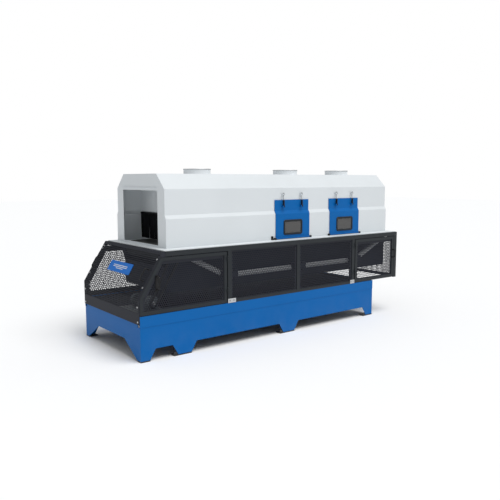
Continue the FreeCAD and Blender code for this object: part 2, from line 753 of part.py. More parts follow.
# ---- conveyor -----------------------------------------------------------------
def trough():
    """Conveyor frame under the table: side plates, floor, end plates and gussets."""
    sides = []
    for y in (TROUGH_Y[0], TROUGH_Y[1] - TROUGH_WALL):
        side = box(TROUGH_X, (y, y + TROUGH_WALL), TROUGH_Z)
        for x in DRUM_X:
            side = cut(side, rod((x, y - 1, DRUM_Z), (x, y + TROUGH_WALL + 1, DRUM_Z), SHAFT_R + RUNNING))
        sides.append(side)
    inside = (TROUGH_Y[0] + TROUGH_WALL, TROUGH_Y[1] - TROUGH_WALL)
    floor_top = TROUGH_Z[0] + TROUGH_SHEET
    floor = box(TROUGH_X, inside, (TROUGH_Z[0], floor_top))
    ends = []
    gussets = []
    wall = TROUGH_Y[1]
    for x in (TROUGH_X[0], TROUGH_X[1] - TROUGH_SHEET):
        ends.append(box((x, x + TROUGH_SHEET), inside, (floor_top, TROUGH_END_Z)))
        corner = [(wall, GUARD_TOP), (wall + GUSSET, GUARD_TOP), (wall, GUSSET_Z)]
        gussets.append(plate_yz(corner, (x, x + TROUGH_SHEET)))
    bed_x = (DRUM_X[0] + BED_IN, DRUM_X[1] - BED_IN)
    bed_y = (BELT_Y[0] - BELT_MARGIN, BELT_Y[1] + BELT_MARGIN)
    bed = box(bed_x, bed_y, (GUARD_TOP, DRUM_Z + DRUM_R - 1))
    bars = []
    for share in BED_BARS:
        x = bed_x[0] + share * (bed_x[1] - bed_x[0])
        bars.append(box((x - BED_BAR, x + BED_BAR), inside, (GUARD_TOP - BED_BAR_DEEP, GUARD_TOP)))
    save("conveyor_frame", *(sides + [floor, bed] + bars + ends + gussets))


def loop(a, ra, b, rb, thick, y):
    """A band round two circles, as an outer outline less an inner one."""
    def solid(extra):
        r1 = ra + extra
        r2 = rb + extra
        dx = b[0] - a[0]
        dz = b[1] - a[1]
        gap = math.hypot(dx, dz)
        base = math.atan2(dz, dx)
        lean = math.acos((r1 - r2) / gap)
        corners = []
        for angle, centre, radius in [
            (base + lean, a, r1), (base + lean, b, r2), (base - lean, b, r2), (base - lean, a, r1)
        ]:
            corners.append((centre[0] + radius * math.cos(angle), centre[1] + radius * math.sin(angle)))
        disc_a = rod((a[0], y[0], a[1]), (a[0], y[1], a[1]), r1)
        disc_b = rod((b[0], y[0], b[1]), (b[0], y[1], b[1]), r2)
        return join(plate_xz(corners, y), disc_a, disc_b)
    return cut(solid(thick), solid(0))


def root_radius(teeth):
    """Radius of a sprocket's body under the chain."""
    return CHAIN_PITCH / (2 * math.sin(math.pi / teeth)) - CHAIN_THICK / 2


def belt_drive():
    left = (DRUM_X[0], DRUM_Z)
    right = (DRUM_X[1], DRUM_Z)
    inner = DRUM_R + BELT_GAP
    save("conveyor_belt", loop(left, inner, right, inner, BELT_THICK, BELT_Y))
    wheel_y = (CHAIN_Y[0] + WHEEL_IN, CHAIN_Y[1] - WHEEL_IN)
    for name, centre, start in [("drive_drum", left, 106), ("tail_drum", right, 144)]:
        x, z = centre
        drum = rod((x, BELT_Y[0], z), (x, BELT_Y[1], z), DRUM_R)
        shaft = rod((x, start, z), (x, TROUGH_Y[1] + 8, z), SHAFT_R)
        pieces = [drum, shaft]
        if name == "drive_drum":
            pieces.append(rod((x, wheel_y[0], z), (x, wheel_y[1], z), root_radius(DRUM_TEETH)))
        save(name, join(*pieces))

    x, z = MOTOR
    wheel = rod((x, wheel_y[0], z), (x, wheel_y[1], z), root_radius(MOTOR_TEETH))
    shaft = rod((x, 104, z), (x, GEARBOX_Y[0] + 42, z), MOTOR_SHAFT_R)
    save("motor_sprocket", join(wheel, shaft))
    small = root_radius(MOTOR_TEETH) + BELT_GAP
    large = root_radius(DRUM_TEETH) + BELT_GAP
    save("drive_chain", loop(MOTOR, small, left, large, CHAIN_THICK, CHAIN_Y))

    under = (BASE_TOP, BASE_TOP + MOTOR_PLATE)
    plate = box((SHEET + 8, 330), (RIM_FLANGE + 10, MOTOR_END + 30), under)
    gearbox = box((x - GEARBOX_HALF, x + GEARBOX_HALF), GEARBOX_Y, (under[1], z + GEARBOX_HALF))
    bore = rod((x, GEARBOX_Y[0] - 1, z), (x, GEARBOX_Y[0] + 44, z), MOTOR_SHAFT_R + RUNNING)
    motor = rod((x, GEARBOX_Y[1], z), (x, MOTOR_END, z), MOTOR_R)
    save("gearmotor", plate, cut(gearbox, bore), motor)


def truss():
    """Tubes that brace the conveyor, held in clamps behind the posts."""
    tubes = []
    clamps = []
    z = (TRUSS_Z - CLAMP_HALF, TRUSS_Z + CLAMP_HALF)
    spans = []
    for low, high in zip(TRUSS_BRACKETS[:-1], TRUSS_BRACKETS[1:]):
        spans.append(((low[1] - CLAMP, TRUSS_Y, TRUSS_Z), (high[0] + CLAMP, TRUSS_Y, TRUSS_Z)))
    left = TRUSS_BRACKETS[0][0] + CLAMP
    right = TRUSS_BRACKETS[-1][1] - CLAMP
    top = GUARD_TOP - RAIL - TRUSS_R
    spans.append(((TRUSS_TOPS[0], TRUSS_Y, top), (left, TRUSS_Y, TRUSS_Z + 12)))
    spans.append(((right, TRUSS_Y, TRUSS_Z + 12), (TRUSS_TOPS[1], TRUSS_Y, top)))
    for start, end in spans:
        tubes.append(cut(rod(start, end, TRUSS_R), rod(start, end, TRUSS_R - 4)))
    holes = [rod(start, end, TRUSS_R) for start, end in spans]
    for low, high in TRUSS_BRACKETS:
        back = box((low, high), (POST, POST + 3), (TRUSS_Z - 30, TRUSS_Z + 30))
        ends = [box(x, (POST, TRUSS_Y + 8), z) for x in ((low, low + CLAMP), (high - CLAMP, high))]
        clamps.append(cut(join(back, *ends), *holes))
    for x in TRUSS_TOPS:
        y = (POST, TRUSS_Y + 8)
        hanger = box((x - CLAMP, x + CLAMP), y, (top - 8, GUARD_TOP))
        clamps.append(cut(hanger, *holes))
    rear = [mirrored(s) for s in tubes]
    save("truss_tubes", *(tubes + rear))
    rear = [mirrored(s) for s in clamps]
    save("truss_clamps", *(clamps + rear))


base_panels()
base_rim()
base_tray()
feet()
guard_frame()
fixed_hinges()
guard_doors()
left_end_cover()
hood_shell()
hood_table()
baffles_and_curtains()
duct_collars()
for side, middle in zip(("left", "right"), DOOR_X):
    inspection_door(side, middle)
    latch(side + "_door_latch_a", middle - LATCH_OFF)
    latch(side + "_door_latch_b", middle + LATCH_OFF)
hood_hardware()
trough()
belt_drive()
truss()
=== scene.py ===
# %% [markdown]
# # Enclosed belt tunnel
# A rubber belt runs through a white extraction hood. Under it stands a blue folded-steel
# base, and black guards of perforated sheet keep hands out of the conveyor. The exact
# shapes and joints are already packed, so this lesson leaves them where they are, adds the
# pieces that a plain solid can't show (holes, chain links, rubber strips, motor fins) and
# gives every surface its finish.

import json
import math

import bmesh
import bpy
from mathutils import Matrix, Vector, geometry


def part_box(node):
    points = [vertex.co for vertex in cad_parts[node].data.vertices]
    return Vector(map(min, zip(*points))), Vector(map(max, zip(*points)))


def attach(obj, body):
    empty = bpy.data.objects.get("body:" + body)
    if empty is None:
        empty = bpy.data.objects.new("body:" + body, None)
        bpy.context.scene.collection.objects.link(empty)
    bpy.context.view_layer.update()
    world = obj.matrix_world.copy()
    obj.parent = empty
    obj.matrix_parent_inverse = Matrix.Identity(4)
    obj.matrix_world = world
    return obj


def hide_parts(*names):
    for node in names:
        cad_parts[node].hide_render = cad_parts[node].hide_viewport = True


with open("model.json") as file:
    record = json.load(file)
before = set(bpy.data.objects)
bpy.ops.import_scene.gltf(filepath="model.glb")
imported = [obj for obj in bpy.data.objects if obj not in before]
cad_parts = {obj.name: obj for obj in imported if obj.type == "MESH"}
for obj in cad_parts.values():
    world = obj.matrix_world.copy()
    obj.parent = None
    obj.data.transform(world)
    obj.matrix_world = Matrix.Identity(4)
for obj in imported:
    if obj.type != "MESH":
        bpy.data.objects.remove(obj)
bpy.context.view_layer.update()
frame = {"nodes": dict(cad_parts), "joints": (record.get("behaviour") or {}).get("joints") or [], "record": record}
nodes = frame["nodes"]
MM = 0.001

# %% [markdown]
# ## Camera
# A camera in Blender looks along its own -Z axis. Giving it a place, a turn about the
# vertical and a tilt is enough, because to_track_quat works out the rotation. It stands
# at eye height, off the machine's left front corner.

# %% Stand the camera at eye height
CAMERA_AT = Vector((-4.1025, -5.139, 1.610))
CAMERA_TURN = math.radians(51.823)
CAMERA_TILT = math.radians(6.833)
LENS = 42.22
SENSOR = 36


def look_along(turn, tilt):
    """A unit vector turned from +X towards +Y, then tilted down."""
    level = Vector((math.cos(turn), math.sin(turn), 0)) * math.cos(tilt)
    return level - Vector((0, 0, math.sin(tilt)))


camera_data = bpy.data.cameras.new("camera")
camera_data.lens = LENS
camera_data.sensor_width = SENSOR
camera = bpy.data.objects.new("camera", camera_data)
camera.location = CAMERA_AT
camera.rotation_mode = "QUATERNION"
camera.rotation_quaternion = look_along(CAMERA_TURN, CAMERA_TILT).to_track_quat("-Z", "Y")
bpy.context.scene.collection.objects.link(camera)
bpy.context.scene.camera = camera
print("camera", tuple(round(c, 3) for c in camera.location), LENS, "mm")

# %% [markdown]
# ## Light
# The machine stands in a white studio. A pale sky lights it from all round, and one sun
# lamp, high in front and widened until its shadows are soft, brightens what faces up and
# forward. A sun lights the whole floor evenly, where a lamp close by would leave the far
# floor grey. The Standard view transform keeps paint colours as mixed.

# %% Light the studio
bpy.context.scene.view_settings.view_transform = "Standard"
SKY_LIGHT = 0.42
SUN_LIGHT = 2.28
SUN_HEIGHT = math.radians(64.5)
SUN_TURN = math.radians(-70)
SUN_WIDTH = math.radians(45)


def studio_sky():
    """A sky that lights softly but looks plain white to the camera."""
    world = bpy.data.worlds.new("studio")
    world.use_nodes = True
    tree = world.node_tree
    sky = tree.nodes["Background"]
    sky.inputs["Color"].default_value = (0.96, 0.98, 1.0, 1)
    sky.inputs["Strength"].default_value = SKY_LIGHT
    seen = tree.nodes.new("ShaderNodeBackground")
    seen.inputs["Color"].default_value = (1, 1, 1, 1)
    mix = tree.nodes.new("ShaderNodeMixShader")
    ray = tree.nodes.new("ShaderNodeLightPath")
    tree.links.new(ray.outputs["Is Camera Ray"], mix.inputs["Fac"])
    tree.links.new(sky.outputs["Background"], mix.inputs[1])
    tree.links.new(seen.outputs["Background"], mix.inputs[2])
    tree.links.new(mix.outputs["Shader"], tree.nodes["World Output"].inputs["Surface"])
    bpy.context.scene.world = world


def soft_sun():
    """A sun lamp as wide as a bank of studio lights."""
    lamp = bpy.data.lights.new("studio_sun", "SUN")
    lamp.energy = SUN_LIGHT
    lamp.angle = SUN_WIDTH
    holder = bpy.data.objects.new("studio_sun", lamp)
    holder.rotation_mode = "QUATERNION"
    holder.rotation_quaternion = (-look_along(SUN_TURN, -SUN_HEIGHT)).to_track_quat("-Z", "Y")
    bpy.context.scene.collection.objects.link(holder)


studio_sky()
soft_sun()
print("sky", SKY_LIGHT, "sun", SUN_LIGHT)

# %% [markdown]
# ## Node-tree helpers
# Every look below is a small tree of shader nodes. place() adds a node, sets its options
# and feeds its sockets: a socket takes either a plain value or another node's output.
# The rest are the few sums and mixes that the trees use again and again.


# %% Write node trees briefly
def place(tree, kind, feeds=None, **options):
    """Adds a node; feeds is {socket: value or another node's output}."""
    node = tree.nodes.new("ShaderNode" + kind)
    for key, value in options.items():
        setattr(node, key, value)
    for key, value in (feeds or {}).items():
        if isinstance(value, bpy.types.NodeSocket):
            tree.links.new(value, node.inputs[key])
        else:
            node.inputs[key].default_value = value
    return node


def feed(socket, value):
    """Links a node's output to a socket of the same tree."""
    socket.id_data.links.new(value, socket)


def calc(tree, operation, *values):
    return place(tree, "Math", dict(enumerate(values)), operation=operation).outputs[0]


def remap(tree, value, low, high, to_low=0.0, to_high=1.0):
    feeds = {"Value": value, "From Min": low, "From Max": high, "To Min": to_low, "To Max": to_high}
    return place(tree, "MapRange", feeds).outputs["Result"]


def blend(tree, share, a, b):
    """Mixes two colours, each a tuple or a socket; 6 and 7 are the Mix node's colour sockets."""
    colours = {6: a, 7: b}
    for key, value in colours.items():
        if isinstance(value, tuple):
            colours[key] = (*value[:3], 1)
    return place(tree, "Mix", {0: share, **colours}, data_type="RGBA").outputs[2]


def noise(tree, where, scale, detail=3.0):
    feeds = {"Vector": where, "Scale": scale, "Detail": detail}
    return place(tree, "TexNoise", feeds).outputs["Fac"]


def stretched(tree, factors=(1, 1, 1)):
    """The piece's own coordinates, stretched by a factor along each axis."""
    own = place(tree, "TexCoord").outputs["Object"]
    return place(tree, "VectorMath", {0: own, 1: factors}, operation="MULTIPLY").outputs[0]


print("node helpers ready")

# %% [markdown]
# A look that several materials share is best kept in one node group, as a function keeps
# code: it is built once, and a change to it reaches every material that uses it.


# %% Make and use node groups
def new_group(name, inputs, outputs):
    """A node group whose inputs are {name: value} and outputs {name: socket kind}."""
    group = bpy.data.node_groups.new(name, "ShaderNodeTree")
    for label, value in inputs.items():
        socket = group.interface.new_socket(label, in_out="INPUT", socket_type="NodeSocketFloat")
        socket.default_value = value
    for label, kind in outputs.items():
        group.interface.new_socket(label, in_out="OUTPUT", socket_type="NodeSocket" + kind)
    given = group.nodes.new("NodeGroupInput").outputs
    result = group.nodes.new("NodeGroupOutput").inputs
    return group, given, result


def use_group(tree, group, values):
    node = tree.nodes.new("ShaderNodeGroup")
    node.node_tree = group
    for key, value in values.items():
        node.inputs[key].default_value = value
    return node.outputs


print("group helpers ready")

# %% [markdown]
# ## Shared effect: powder-coat skin
# Powder coat melts into shallow dimples like orange peel, with a fine grit on top. Two
# noises make that height, and a third, metres wide, makes the slow drift in shade that
# every large painted panel has. It is a node group, because every paint needs it.

# %% Build the powder-coat skin
DIMPLES = 260.0
FINE_DIMPLES = 420.0
GRIT = 1400.0
DRIFT = 1.6
coat_skin, given, result = new_group(
    "coat_skin", {"Dimples per m": DIMPLES, "Drift": 0.5}, {"Height": "Float", "Shade": "Float"}
)
own = stretched(coat_skin)
dimples = noise(coat_skin, own, given["Dimples per m"], 2.0)
grit = noise(coat_skin, own, GRIT, 1.0)
feed(result["Height"], calc(coat_skin, "MULTIPLY_ADD", grit, 0.3, dimples))
drift = calc(coat_skin, "SUBTRACT", noise(coat_skin, own, DRIFT, 2.0), 0.5)
feed(result["Shade"], calc(coat_skin, "MULTIPLY_ADD", drift, given["Drift"], 0.5))
print(coat_skin.name, [socket.name for socket in coat_skin.interface.items_tree])

# %% [markdown]
# ## Shared effect: worn, rounded edges
# Folded sheet has no razor edges, and paint wears through on them first. The Bevel node
# gives the normal that a rounded edge would have: it makes edges catch light without any
# new mesh, and where it differs from the true normal there is an edge to wear. Noise
# breaks the wear into chips, so that it never runs as an even line.

# %% Build the worn edge
CHIPS = 38.0
worn_edge, given, result = new_group(
    "worn_edge", {"Radius": 1.5 * MM, "Wear": 0.5}, {"Mask": "Float", "Normal": "Vector"}
)
rounded = place(worn_edge, "Bevel", {"Radius": given["Radius"]}, samples=4).outputs["Normal"]
flat = place(worn_edge, "NewGeometry").outputs["True Normal"]
facing = place(worn_edge, "VectorMath", {0: rounded, 1: flat}, operation="DOT_PRODUCT").outputs["Value"]
edge = remap(worn_edge, facing, 0.97, 0.80)
own = stretched(worn_edge)
chips = remap(worn_edge, noise(worn_edge, own, CHIPS, 6.0), 0.56, 0.68)
chips = calc(worn_edge, "MULTIPLY", chips, given["Wear"])
feed(result["Mask"], calc(worn_edge, "MULTIPLY", edge, chips))
feed(result["Normal"], rounded)
print(worn_edge.name, "built")

# %% [markdown]
# ## Shared effect: workshop dust
# Dust settles on what faces up and is thickest near the floor, where feet and brooms
# throw it. The mask multiplies those two by a cloudy noise, and each material then
# fades towards a pale grey with it.

# %% Build the dust
CLOUDS = 7.0
shop_dust, given, result = new_group("shop_dust", {"Amount": 0.3, "Reach": 0.5}, {"Mask": "Float"})
own = stretched(shop_dust)
height = place(shop_dust, "SeparateXYZ", {0: own}).outputs["Z"]
near_floor = calc(shop_dust, "SUBTRACT", 1.0, calc(shop_dust, "DIVIDE", height, given["Reach"]))
near_floor = calc(shop_dust, "MAXIMUM", near_floor, 0.0)
upward = place(shop_dust, "NewGeometry").outputs["Normal"]
upward = place(shop_dust, "SeparateXYZ", {0: upward}).outputs["Z"]
upward = remap(shop_dust, upward, 0.4, 1.0)
lying = calc(shop_dust, "MAXIMUM", calc(shop_dust, "MULTIPLY", near_floor, near_floor), upward)
clouds = remap(shop_dust, noise(shop_dust, own, CLOUDS, 5.0), 0.35, 0.75)
lying = calc(shop_dust, "MULTIPLY", lying, clouds)
feed(result["Mask"], calc(shop_dust, "MULTIPLY", lying, given["Amount"]))
print(shop_dust.name, "built")

# %% [markdown]
# ## Shared effect: drawn-metal grain and rubber bloom
# Rolled or drawn steel shows fine lines along the way it was worked: noise squeezed
# across the line and stretched along it. Rubber instead has a fine pebble and a chalky
# bloom in patches, so that black rubber is never evenly black.

# %% Build the metal grain and the rubber bloom
ALONG_THE_GRAIN = (8, 400, 400)
SPOTS = 60.0
PEBBLES = 700.0
PATCHES = 5.0
metal_grain, given, result = new_group(
    "metal_grain", {"Streaks": 0.5}, {"Height": "Float", "Shade": "Float"}
)
lines = noise(metal_grain, stretched(metal_grain, ALONG_THE_GRAIN), 1.0, 3.0)
spots = noise(metal_grain, stretched(metal_grain), SPOTS, 4.0)
feed(result["Height"], lines)
streaks = calc(metal_grain, "MULTIPLY", calc(metal_grain, "SUBTRACT", lines, 0.5), given["Streaks"])
feed(result["Shade"], calc(metal_grain, "MULTIPLY_ADD", spots, 0.4, streaks))

rubber_bloom, given, result = new_group(
    "rubber_bloom", {"Pebbles per m": PEBBLES, "Bloom": 0.3}, {"Height": "Float", "Bloom": "Float"}
)
own = stretched(rubber_bloom)
feed(result["Height"], noise(rubber_bloom, own, given["Pebbles per m"], 2.0))
patches = remap(rubber_bloom, noise(rubber_bloom, own, PATCHES, 6.0), 0.45, 0.8)
feed(result["Bloom"], calc(rubber_bloom, "MULTIPLY", patches, given["Bloom"]))
print(metal_grain.name, "and", rubber_bloom.name)

# %% [markdown]
# ## Materials
# Each slot that the machine's record names gets one material. The paints share one recipe
# with their own colour, gloss, wear and dust: the skin shifts the shade, worn edges show
# the primer, and dust lies over both and dulls the gloss.

# %% Write the recipe for paint
DUST = (0.52, 0.50, 0.47)
PRIMER = (0.33, 0.33, 0.34)
CHALK = (0.16, 0.16, 0.16)
finish = {}


def blank(name):
    """Files a new material in finish; gives its tree and its Principled BSDF's sockets."""
    finish[name] = material = bpy.data.materials.new(name)
    material.use_nodes = True
    return material.node_tree, material.node_tree.nodes["Principled BSDF"].inputs


def bumpy(tree, surface, height, strength, depth, **normal):
    """Raises a height on the surface, over the normal if one is given."""
    feeds = {"Height": height, "Strength": strength, "Distance": depth, **normal}
    feed(surface["Normal"], place(tree, "Bump", feeds).outputs["Normal"])


def painted(name, colour, rough, wear=0.4, dust=0.25, dimples=DIMPLES, drift=0.5, reach=0.5, shine=0.25):
    """Powder-coated sheet steel."""
    tree, surface = blank(name)
    surface["Specular IOR Level"].default_value = shine
    skin = use_group(tree, coat_skin, {"Dimples per m": dimples, "Drift": drift})
    edges = use_group(tree, worn_edge, {"Wear": wear})
    dusty = use_group(tree, shop_dust, {"Amount": dust, "Reach": reach})["Mask"]
    darker = tuple(c * 0.86 for c in colour)
    lighter = tuple(min(c * 1.12 + 0.002, 1) for c in colour)
    shade = blend(tree, skin["Shade"], darker, lighter)
    shade = blend(tree, edges["Mask"], shade, PRIMER)
    feed(surface["Base Color"], blend(tree, dusty, shade, DUST))
    gloss = remap(tree, skin["Height"], 0.3, 1.0, rough - 0.05, rough + 0.07)
    feed(surface["Roughness"], calc(tree, "MULTIPLY_ADD", dusty, 0.35, gloss))
    bumpy(tree, surface, skin["Height"], 0.10, 0.4 * MM, Normal=edges["Normal"])


print("paint recipe: primer", PRIMER, "dust", DUST)

# %% [markdown]
# Bare steel is fully metallic, so its colour tints what it reflects. Rubber reflects
# little: its specular level is kept low, and a chalky bloom lifts the black in patches.


# %% Write the recipes for bare steel and rubber
def bare_metal(name, colour, rough, streaks=0.5, dust=0.1):
    """Plated, turned or rolled steel without paint."""
    tree, surface = blank(name)
    grain = use_group(tree, metal_grain, {"Streaks": streaks})
    dusty = use_group(tree, shop_dust, {"Amount": dust, "Reach": 0.6})["Mask"]
    darker = tuple(c * 0.7 for c in colour)
    shade = blend(tree, grain["Shade"], darker, colour)
    feed(surface["Base Color"], blend(tree, dusty, shade, DUST))
    feed(surface["Roughness"], remap(tree, grain["Shade"], 0.0, 0.6, rough - 0.08, rough + 0.12))
    surface["Metallic"].default_value = 1.0
    rounded = use_group(tree, worn_edge, {"Radius": 0.8 * MM})["Normal"]
    bumpy(tree, surface, grain["Height"], 0.15, 0.1 * MM, Normal=rounded)


def rubbery(name, colour, rough, pebbles=PEBBLES, bloom=0.3, shine=0.3):
    """Rubber or moulded plastic with a fine pebble and a chalky bloom."""
    tree, surface = blank(name)
    surface["Specular IOR Level"].default_value = shine
    skin = use_group(tree, rubber_bloom, {"Pebbles per m": pebbles, "Bloom": bloom})
    dusty = use_group(tree, shop_dust, {"Amount": 0.2, "Reach": 0.6})["Mask"]
    shade = blend(tree, skin["Bloom"], colour, CHALK)
    feed(surface["Base Color"], blend(tree, dusty, shade, DUST))
    feed(surface["Roughness"], calc(tree, "MULTIPLY_ADD", skin["Bloom"], 0.3, rough))
    bumpy(tree, surface, skin["Height"], 0.25, 0.2 * MM)


print("rubber recipe: chalk", CHALK)

# %% [markdown]
# ## Finishes
# The pane is smoked polycarbonate: dark, glossy and only partly see-through. A plain
# Alpha is enough for a thin pane, and the wipe marks are a noise in its roughness. Then
# every finish is mixed once and handed to the nodes that name it.


# %% Mix the finishes
def smoked_pane(name):
    tree, surface = blank(name)
    surface["Base Color"].default_value = (0.085, 0.082, 0.08, 1)
    surface["Alpha"].default_value = 0.85
    wipes = noise(tree, stretched(tree, (6, 6, 30)), 1.0, 4.0)
    feed(surface["Roughness"], remap(tree, wipes, 0.3, 0.8, 0.10, 0.32))


painted("base_blue", (0.001, 0.121, 0.400), 0.42, wear=0.35, dust=0.05, shine=0.12)
painted("guard_black", (0.022, 0.026, 0.030), 0.48, wear=0.08, dust=0.04, dimples=FINE_DIMPLES, shine=0.22)
painted("mesh_black", (0.031, 0.033, 0.042), 0.55, wear=0.0, dust=0.04, dimples=FINE_DIMPLES, shine=0.10)
painted("hood_white", (0.70, 0.735, 0.755), 0.45, wear=0.15, dust=0.12, drift=0.35)
painted("collar_grey", (0.84, 0.87, 0.89), 0.48, wear=0.2, dust=0.10)
# dark_steel is the steel's own dark paint; its navy tint is a painted reflection of the blue base, seen through
# the guards.
painted("dark_steel", (0.014, 0.018, 0.032), 0.55, wear=0.3, dust=0.05, reach=1.2, shine=0.12)
painted("tube_grey", (0.34, 0.35, 0.36), 0.48, wear=0.3, dust=0.1, reach=1.0)
painted("motor_grey", (0.12, 0.14, 0.15), 0.45, wear=0.5, dust=0.3, reach=0.9)
painted("badge_blue", (0.004, 0.15, 0.56), 0.30, wear=0.1, dust=0.03, drift=0.2, shine=0.2)
bare_metal("galvanised", (0.80, 0.81, 0.82), 0.50, streaks=0.3)
bare_metal("bright_steel", (0.56, 0.57, 0.58), 0.30)
bare_metal("chain_steel", (0.050, 0.048, 0.046), 0.45, dust=0.04)
rubbery("belt_rubber", (0.020, 0.024, 0.022), 0.68, pebbles=500.0)
rubbery("drum_rubber", (0.018, 0.018, 0.019), 0.72)
rubbery("curtain_rubber", (0.0025, 0.003, 0.0045), 0.60, bloom=0.04, shine=0.08)
rubbery("seal_rubber", (0.010, 0.014, 0.020), 0.50, bloom=0.12)
rubbery("handle_black", (0.007, 0.007, 0.008), 0.42, pebbles=900.0, bloom=0.10)
smoked_pane("window_glass")
for part in frame["record"]["subparts"]:
    holder = nodes[part["node"]]
    for material_slot in holder.material_slots:
        material_slot.link = "OBJECT"
        material_slot.material = finish[part["material_slot"]]
print(len(finish), "finishes on", len(nodes), "nodes")

# %% [markdown]
# ## Mesh helpers
# The new pieces are gathered in a bmesh, Blender's editable mesh, one solid after
# another. shell() joins rings of points into a closed skin, which makes rods, fins,
# plates and rounded frames alike.


# %% Gather solids in a bmesh
def shell(bm, rings, closed=False):
    """Joins rings of points with quads; caps both ends, or closes the loop of rings."""
    loops = [[bm.verts.new(point) for point in ring] for ring in rings]
    for a, b in zip(loops, loops[1:] + (loops[:1] if closed else [])):
        for i in range(len(a)):
            j = (i + 1) % len(a)
            bm.faces.new((a[i], a[j], b[j], b[i]))
    if not closed:
        bm.faces.new(loops[0][::-1])
        bm.faces.new(loops[-1])


def polar(x, y, reach, angle):
    """The point at a reach and an angle from x, y."""
    return x + reach * math.cos(angle), y + reach * math.sin(angle)


def across(direction):
    """Two unit vectors square to a direction and to each other."""
    direction = Vector(direction).normalized()
    side = direction.orthogonal().normalized()
    return side, direction.cross(side)


def turned(bm, start, end, profile, sides=24):
    """A turned solid between two points; profile is (share of the length, radius)."""
    start = Vector(start)
    run = Vector(end) - start
    u, v = across(run)
    rings = []
    for share, radius in profile:
        ring = []
        for k in range(sides):
            angle = 2 * math.pi * k / sides
            ring.append(start + run * share + (u * math.cos(angle) + v * math.sin(angle)) * radius)
        rings.append(ring)
    shell(bm, rings)


def rod(bm, start, end, radius, sides=24):
    """A plain round bar."""
    turned(bm, start, end, [(0, radius), (1, radius)], sides)


def block(bm, low, high, soft=0.0):
    """A box between two corners, with its edges rounded off by soft."""
    low, high = Vector(low), Vector(high)
    made = bmesh.ops.create_cube(bm, size=1.0)["verts"]
    for vert in made:
        vert.co = (low + high) / 2 + Vector(c * s for c, s in zip(vert.co, high - low))
    if soft:
        edges = dict.fromkeys(edge for vert in made for edge in vert.link_edges)
        bmesh.ops.bevel(bm, geom=list(edges), offset=soft, segments=2, affect="EDGES", profile=0.5)


print("solid makers ready")

# %% [markdown]
# settle() turns a full bmesh into an object that rides on its body and takes its finish.
# Smooth shading with sharp edges by angle keeps curves round and folds crisp.


# %% Settle a piece on its body
def settle(bm, name, slot, body, replaced=(), crease=35):
    """Turns a bmesh into a piece with its finish, on its body."""
    bmesh.ops.recalc_face_normals(bm, faces=bm.faces)
    mesh = bpy.data.meshes.new(name)
    bm.to_mesh(mesh)
    bm.free()
    for face in mesh.polygons:
        face.use_smooth = True
    mesh.set_sharp_from_angle(angle=math.radians(crease))
    mesh.materials.append(finish[slot])
    piece = bpy.data.objects.new(name, mesh)
    bpy.context.scene.collection.objects.link(piece)
    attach(piece, body)
    if replaced:
        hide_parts(*replaced)
    print(name, len(mesh.polygons), "faces")


print("pieces can settle")

# %% [markdown]
# ## Perforated sheet
# The guards are punched with round holes in staggered rows. A texture could fake them,
# but real holes let the white studio shine through and make true moire. Each hole sits in
# a hexagon: the hexagons tile the sheet edge to edge, so a ring of faces between hexagon
# and hole is all that one cell needs. Cells that would cross the sheet's plain margin are
# left out.

# %% Set out the holes
HOLE_PITCH = 22 * MM
HOLE_RADIUS = 8.3 * MM
CELL_REACH = HOLE_PITCH / math.sqrt(3)


def cells_in(outline, margin):
    """Centres of the hexagons that lie wholly inside a convex outline, less its margin."""
    low = [min(p[k] for p in outline) for k in (0, 1)]
    high = [max(p[k] for p in outline) for k in (0, 1)]
    row_step = HOLE_PITCH * math.sqrt(3) / 2
    sides = []
    for (ax, ay), (bx, by) in zip(outline, outline[1:] + outline[:1]):
        length = math.hypot(bx - ax, by - ay)
        sides.append((ax, ay, -(by - ay) / length, (bx - ax) / length))
    rows = int((high[1] - low[1]) / row_step) + 2
    columns = int((high[0] - low[0]) / HOLE_PITCH) + 2
    for row in range(rows):
        for column in range(columns):
            x = low[0] + (column + row % 2 / 2) * HOLE_PITCH
            y = low[1] + row * row_step
            if all((x - ax) * nx + (y - ay) * ny > margin + CELL_REACH for ax, ay, nx, ny in sides):
                yield x, y


print("holes", 2 * HOLE_RADIUS, "m wide,", HOLE_PITCH, "m apart")

# %% [markdown]
# Neighbouring hexagons share their corners, so an edge used twice lies inside the sheet
# and an edge used once is on the border. Walking those border edges gives a closed loop,
# and tessellate_polygon() fills the plain margin between it and the outline.


# %% Punch a sheet
def punched(bm, outline, margin, to_space):
    """Fills an anticlockwise convex outline with punched sheet; to_space maps u, v to 3-D."""
    shared = {}

    def corner(x, y):
        key = (round(x * 1e5), round(y * 1e5))
        if key not in shared:
            shared[key] = bm.verts.new(to_space(x, y))
        return shared[key]

    edge_use = {}
    for x, y in cells_in(outline, margin):
        corners = []
        rim = []
        for k in range(6):
            angle = math.radians(30 + 60 * k)
            point = polar(x, y, CELL_REACH, angle)
            corners.append((corner(*point), point))
            for offset in (-15, 15):
                on_rim = polar(x, y, HOLE_RADIUS, angle + math.radians(offset))
                rim.append(bm.verts.new(to_space(*on_rim)))
        for k in range(6):
            a, a_at = corners[k]
            b = corners[(k + 1) % 6][0]
            bm.faces.new((a, rim[2 * k + 1], rim[2 * k]))
            bm.faces.new((a, b, rim[(2 * k + 2) % 12], rim[2 * k + 1]))
            key = frozenset((a, b))
            edge_use[key] = None if key in edge_use else (a, a_at, b)
    loop_next = {use[0]: (use[1], use[2]) for use in edge_use.values() if use}
    inner = []
    vert = next(iter(loop_next))
    while not inner or vert is not inner[0][0]:
        at, following = loop_next[vert]
        inner.append((vert, at))
        vert = following
    rim_verts = [bm.verts.new(to_space(*point)) for point in outline] + [v for v, _ in inner]
    flat = [[Vector((*p, 0)) for p in outline], [Vector((*p, 0)) for _, p in inner]]
    for triangle in geometry.tessellate_polygon(flat):
        bm.faces.new([rim_verts[i] for i in triangle])


print("punch ready")

# %% [markdown]
# One CAD node can hold several plates or solids. separate_plates() walks from corner to
# corner along the edges to tell one from the next.


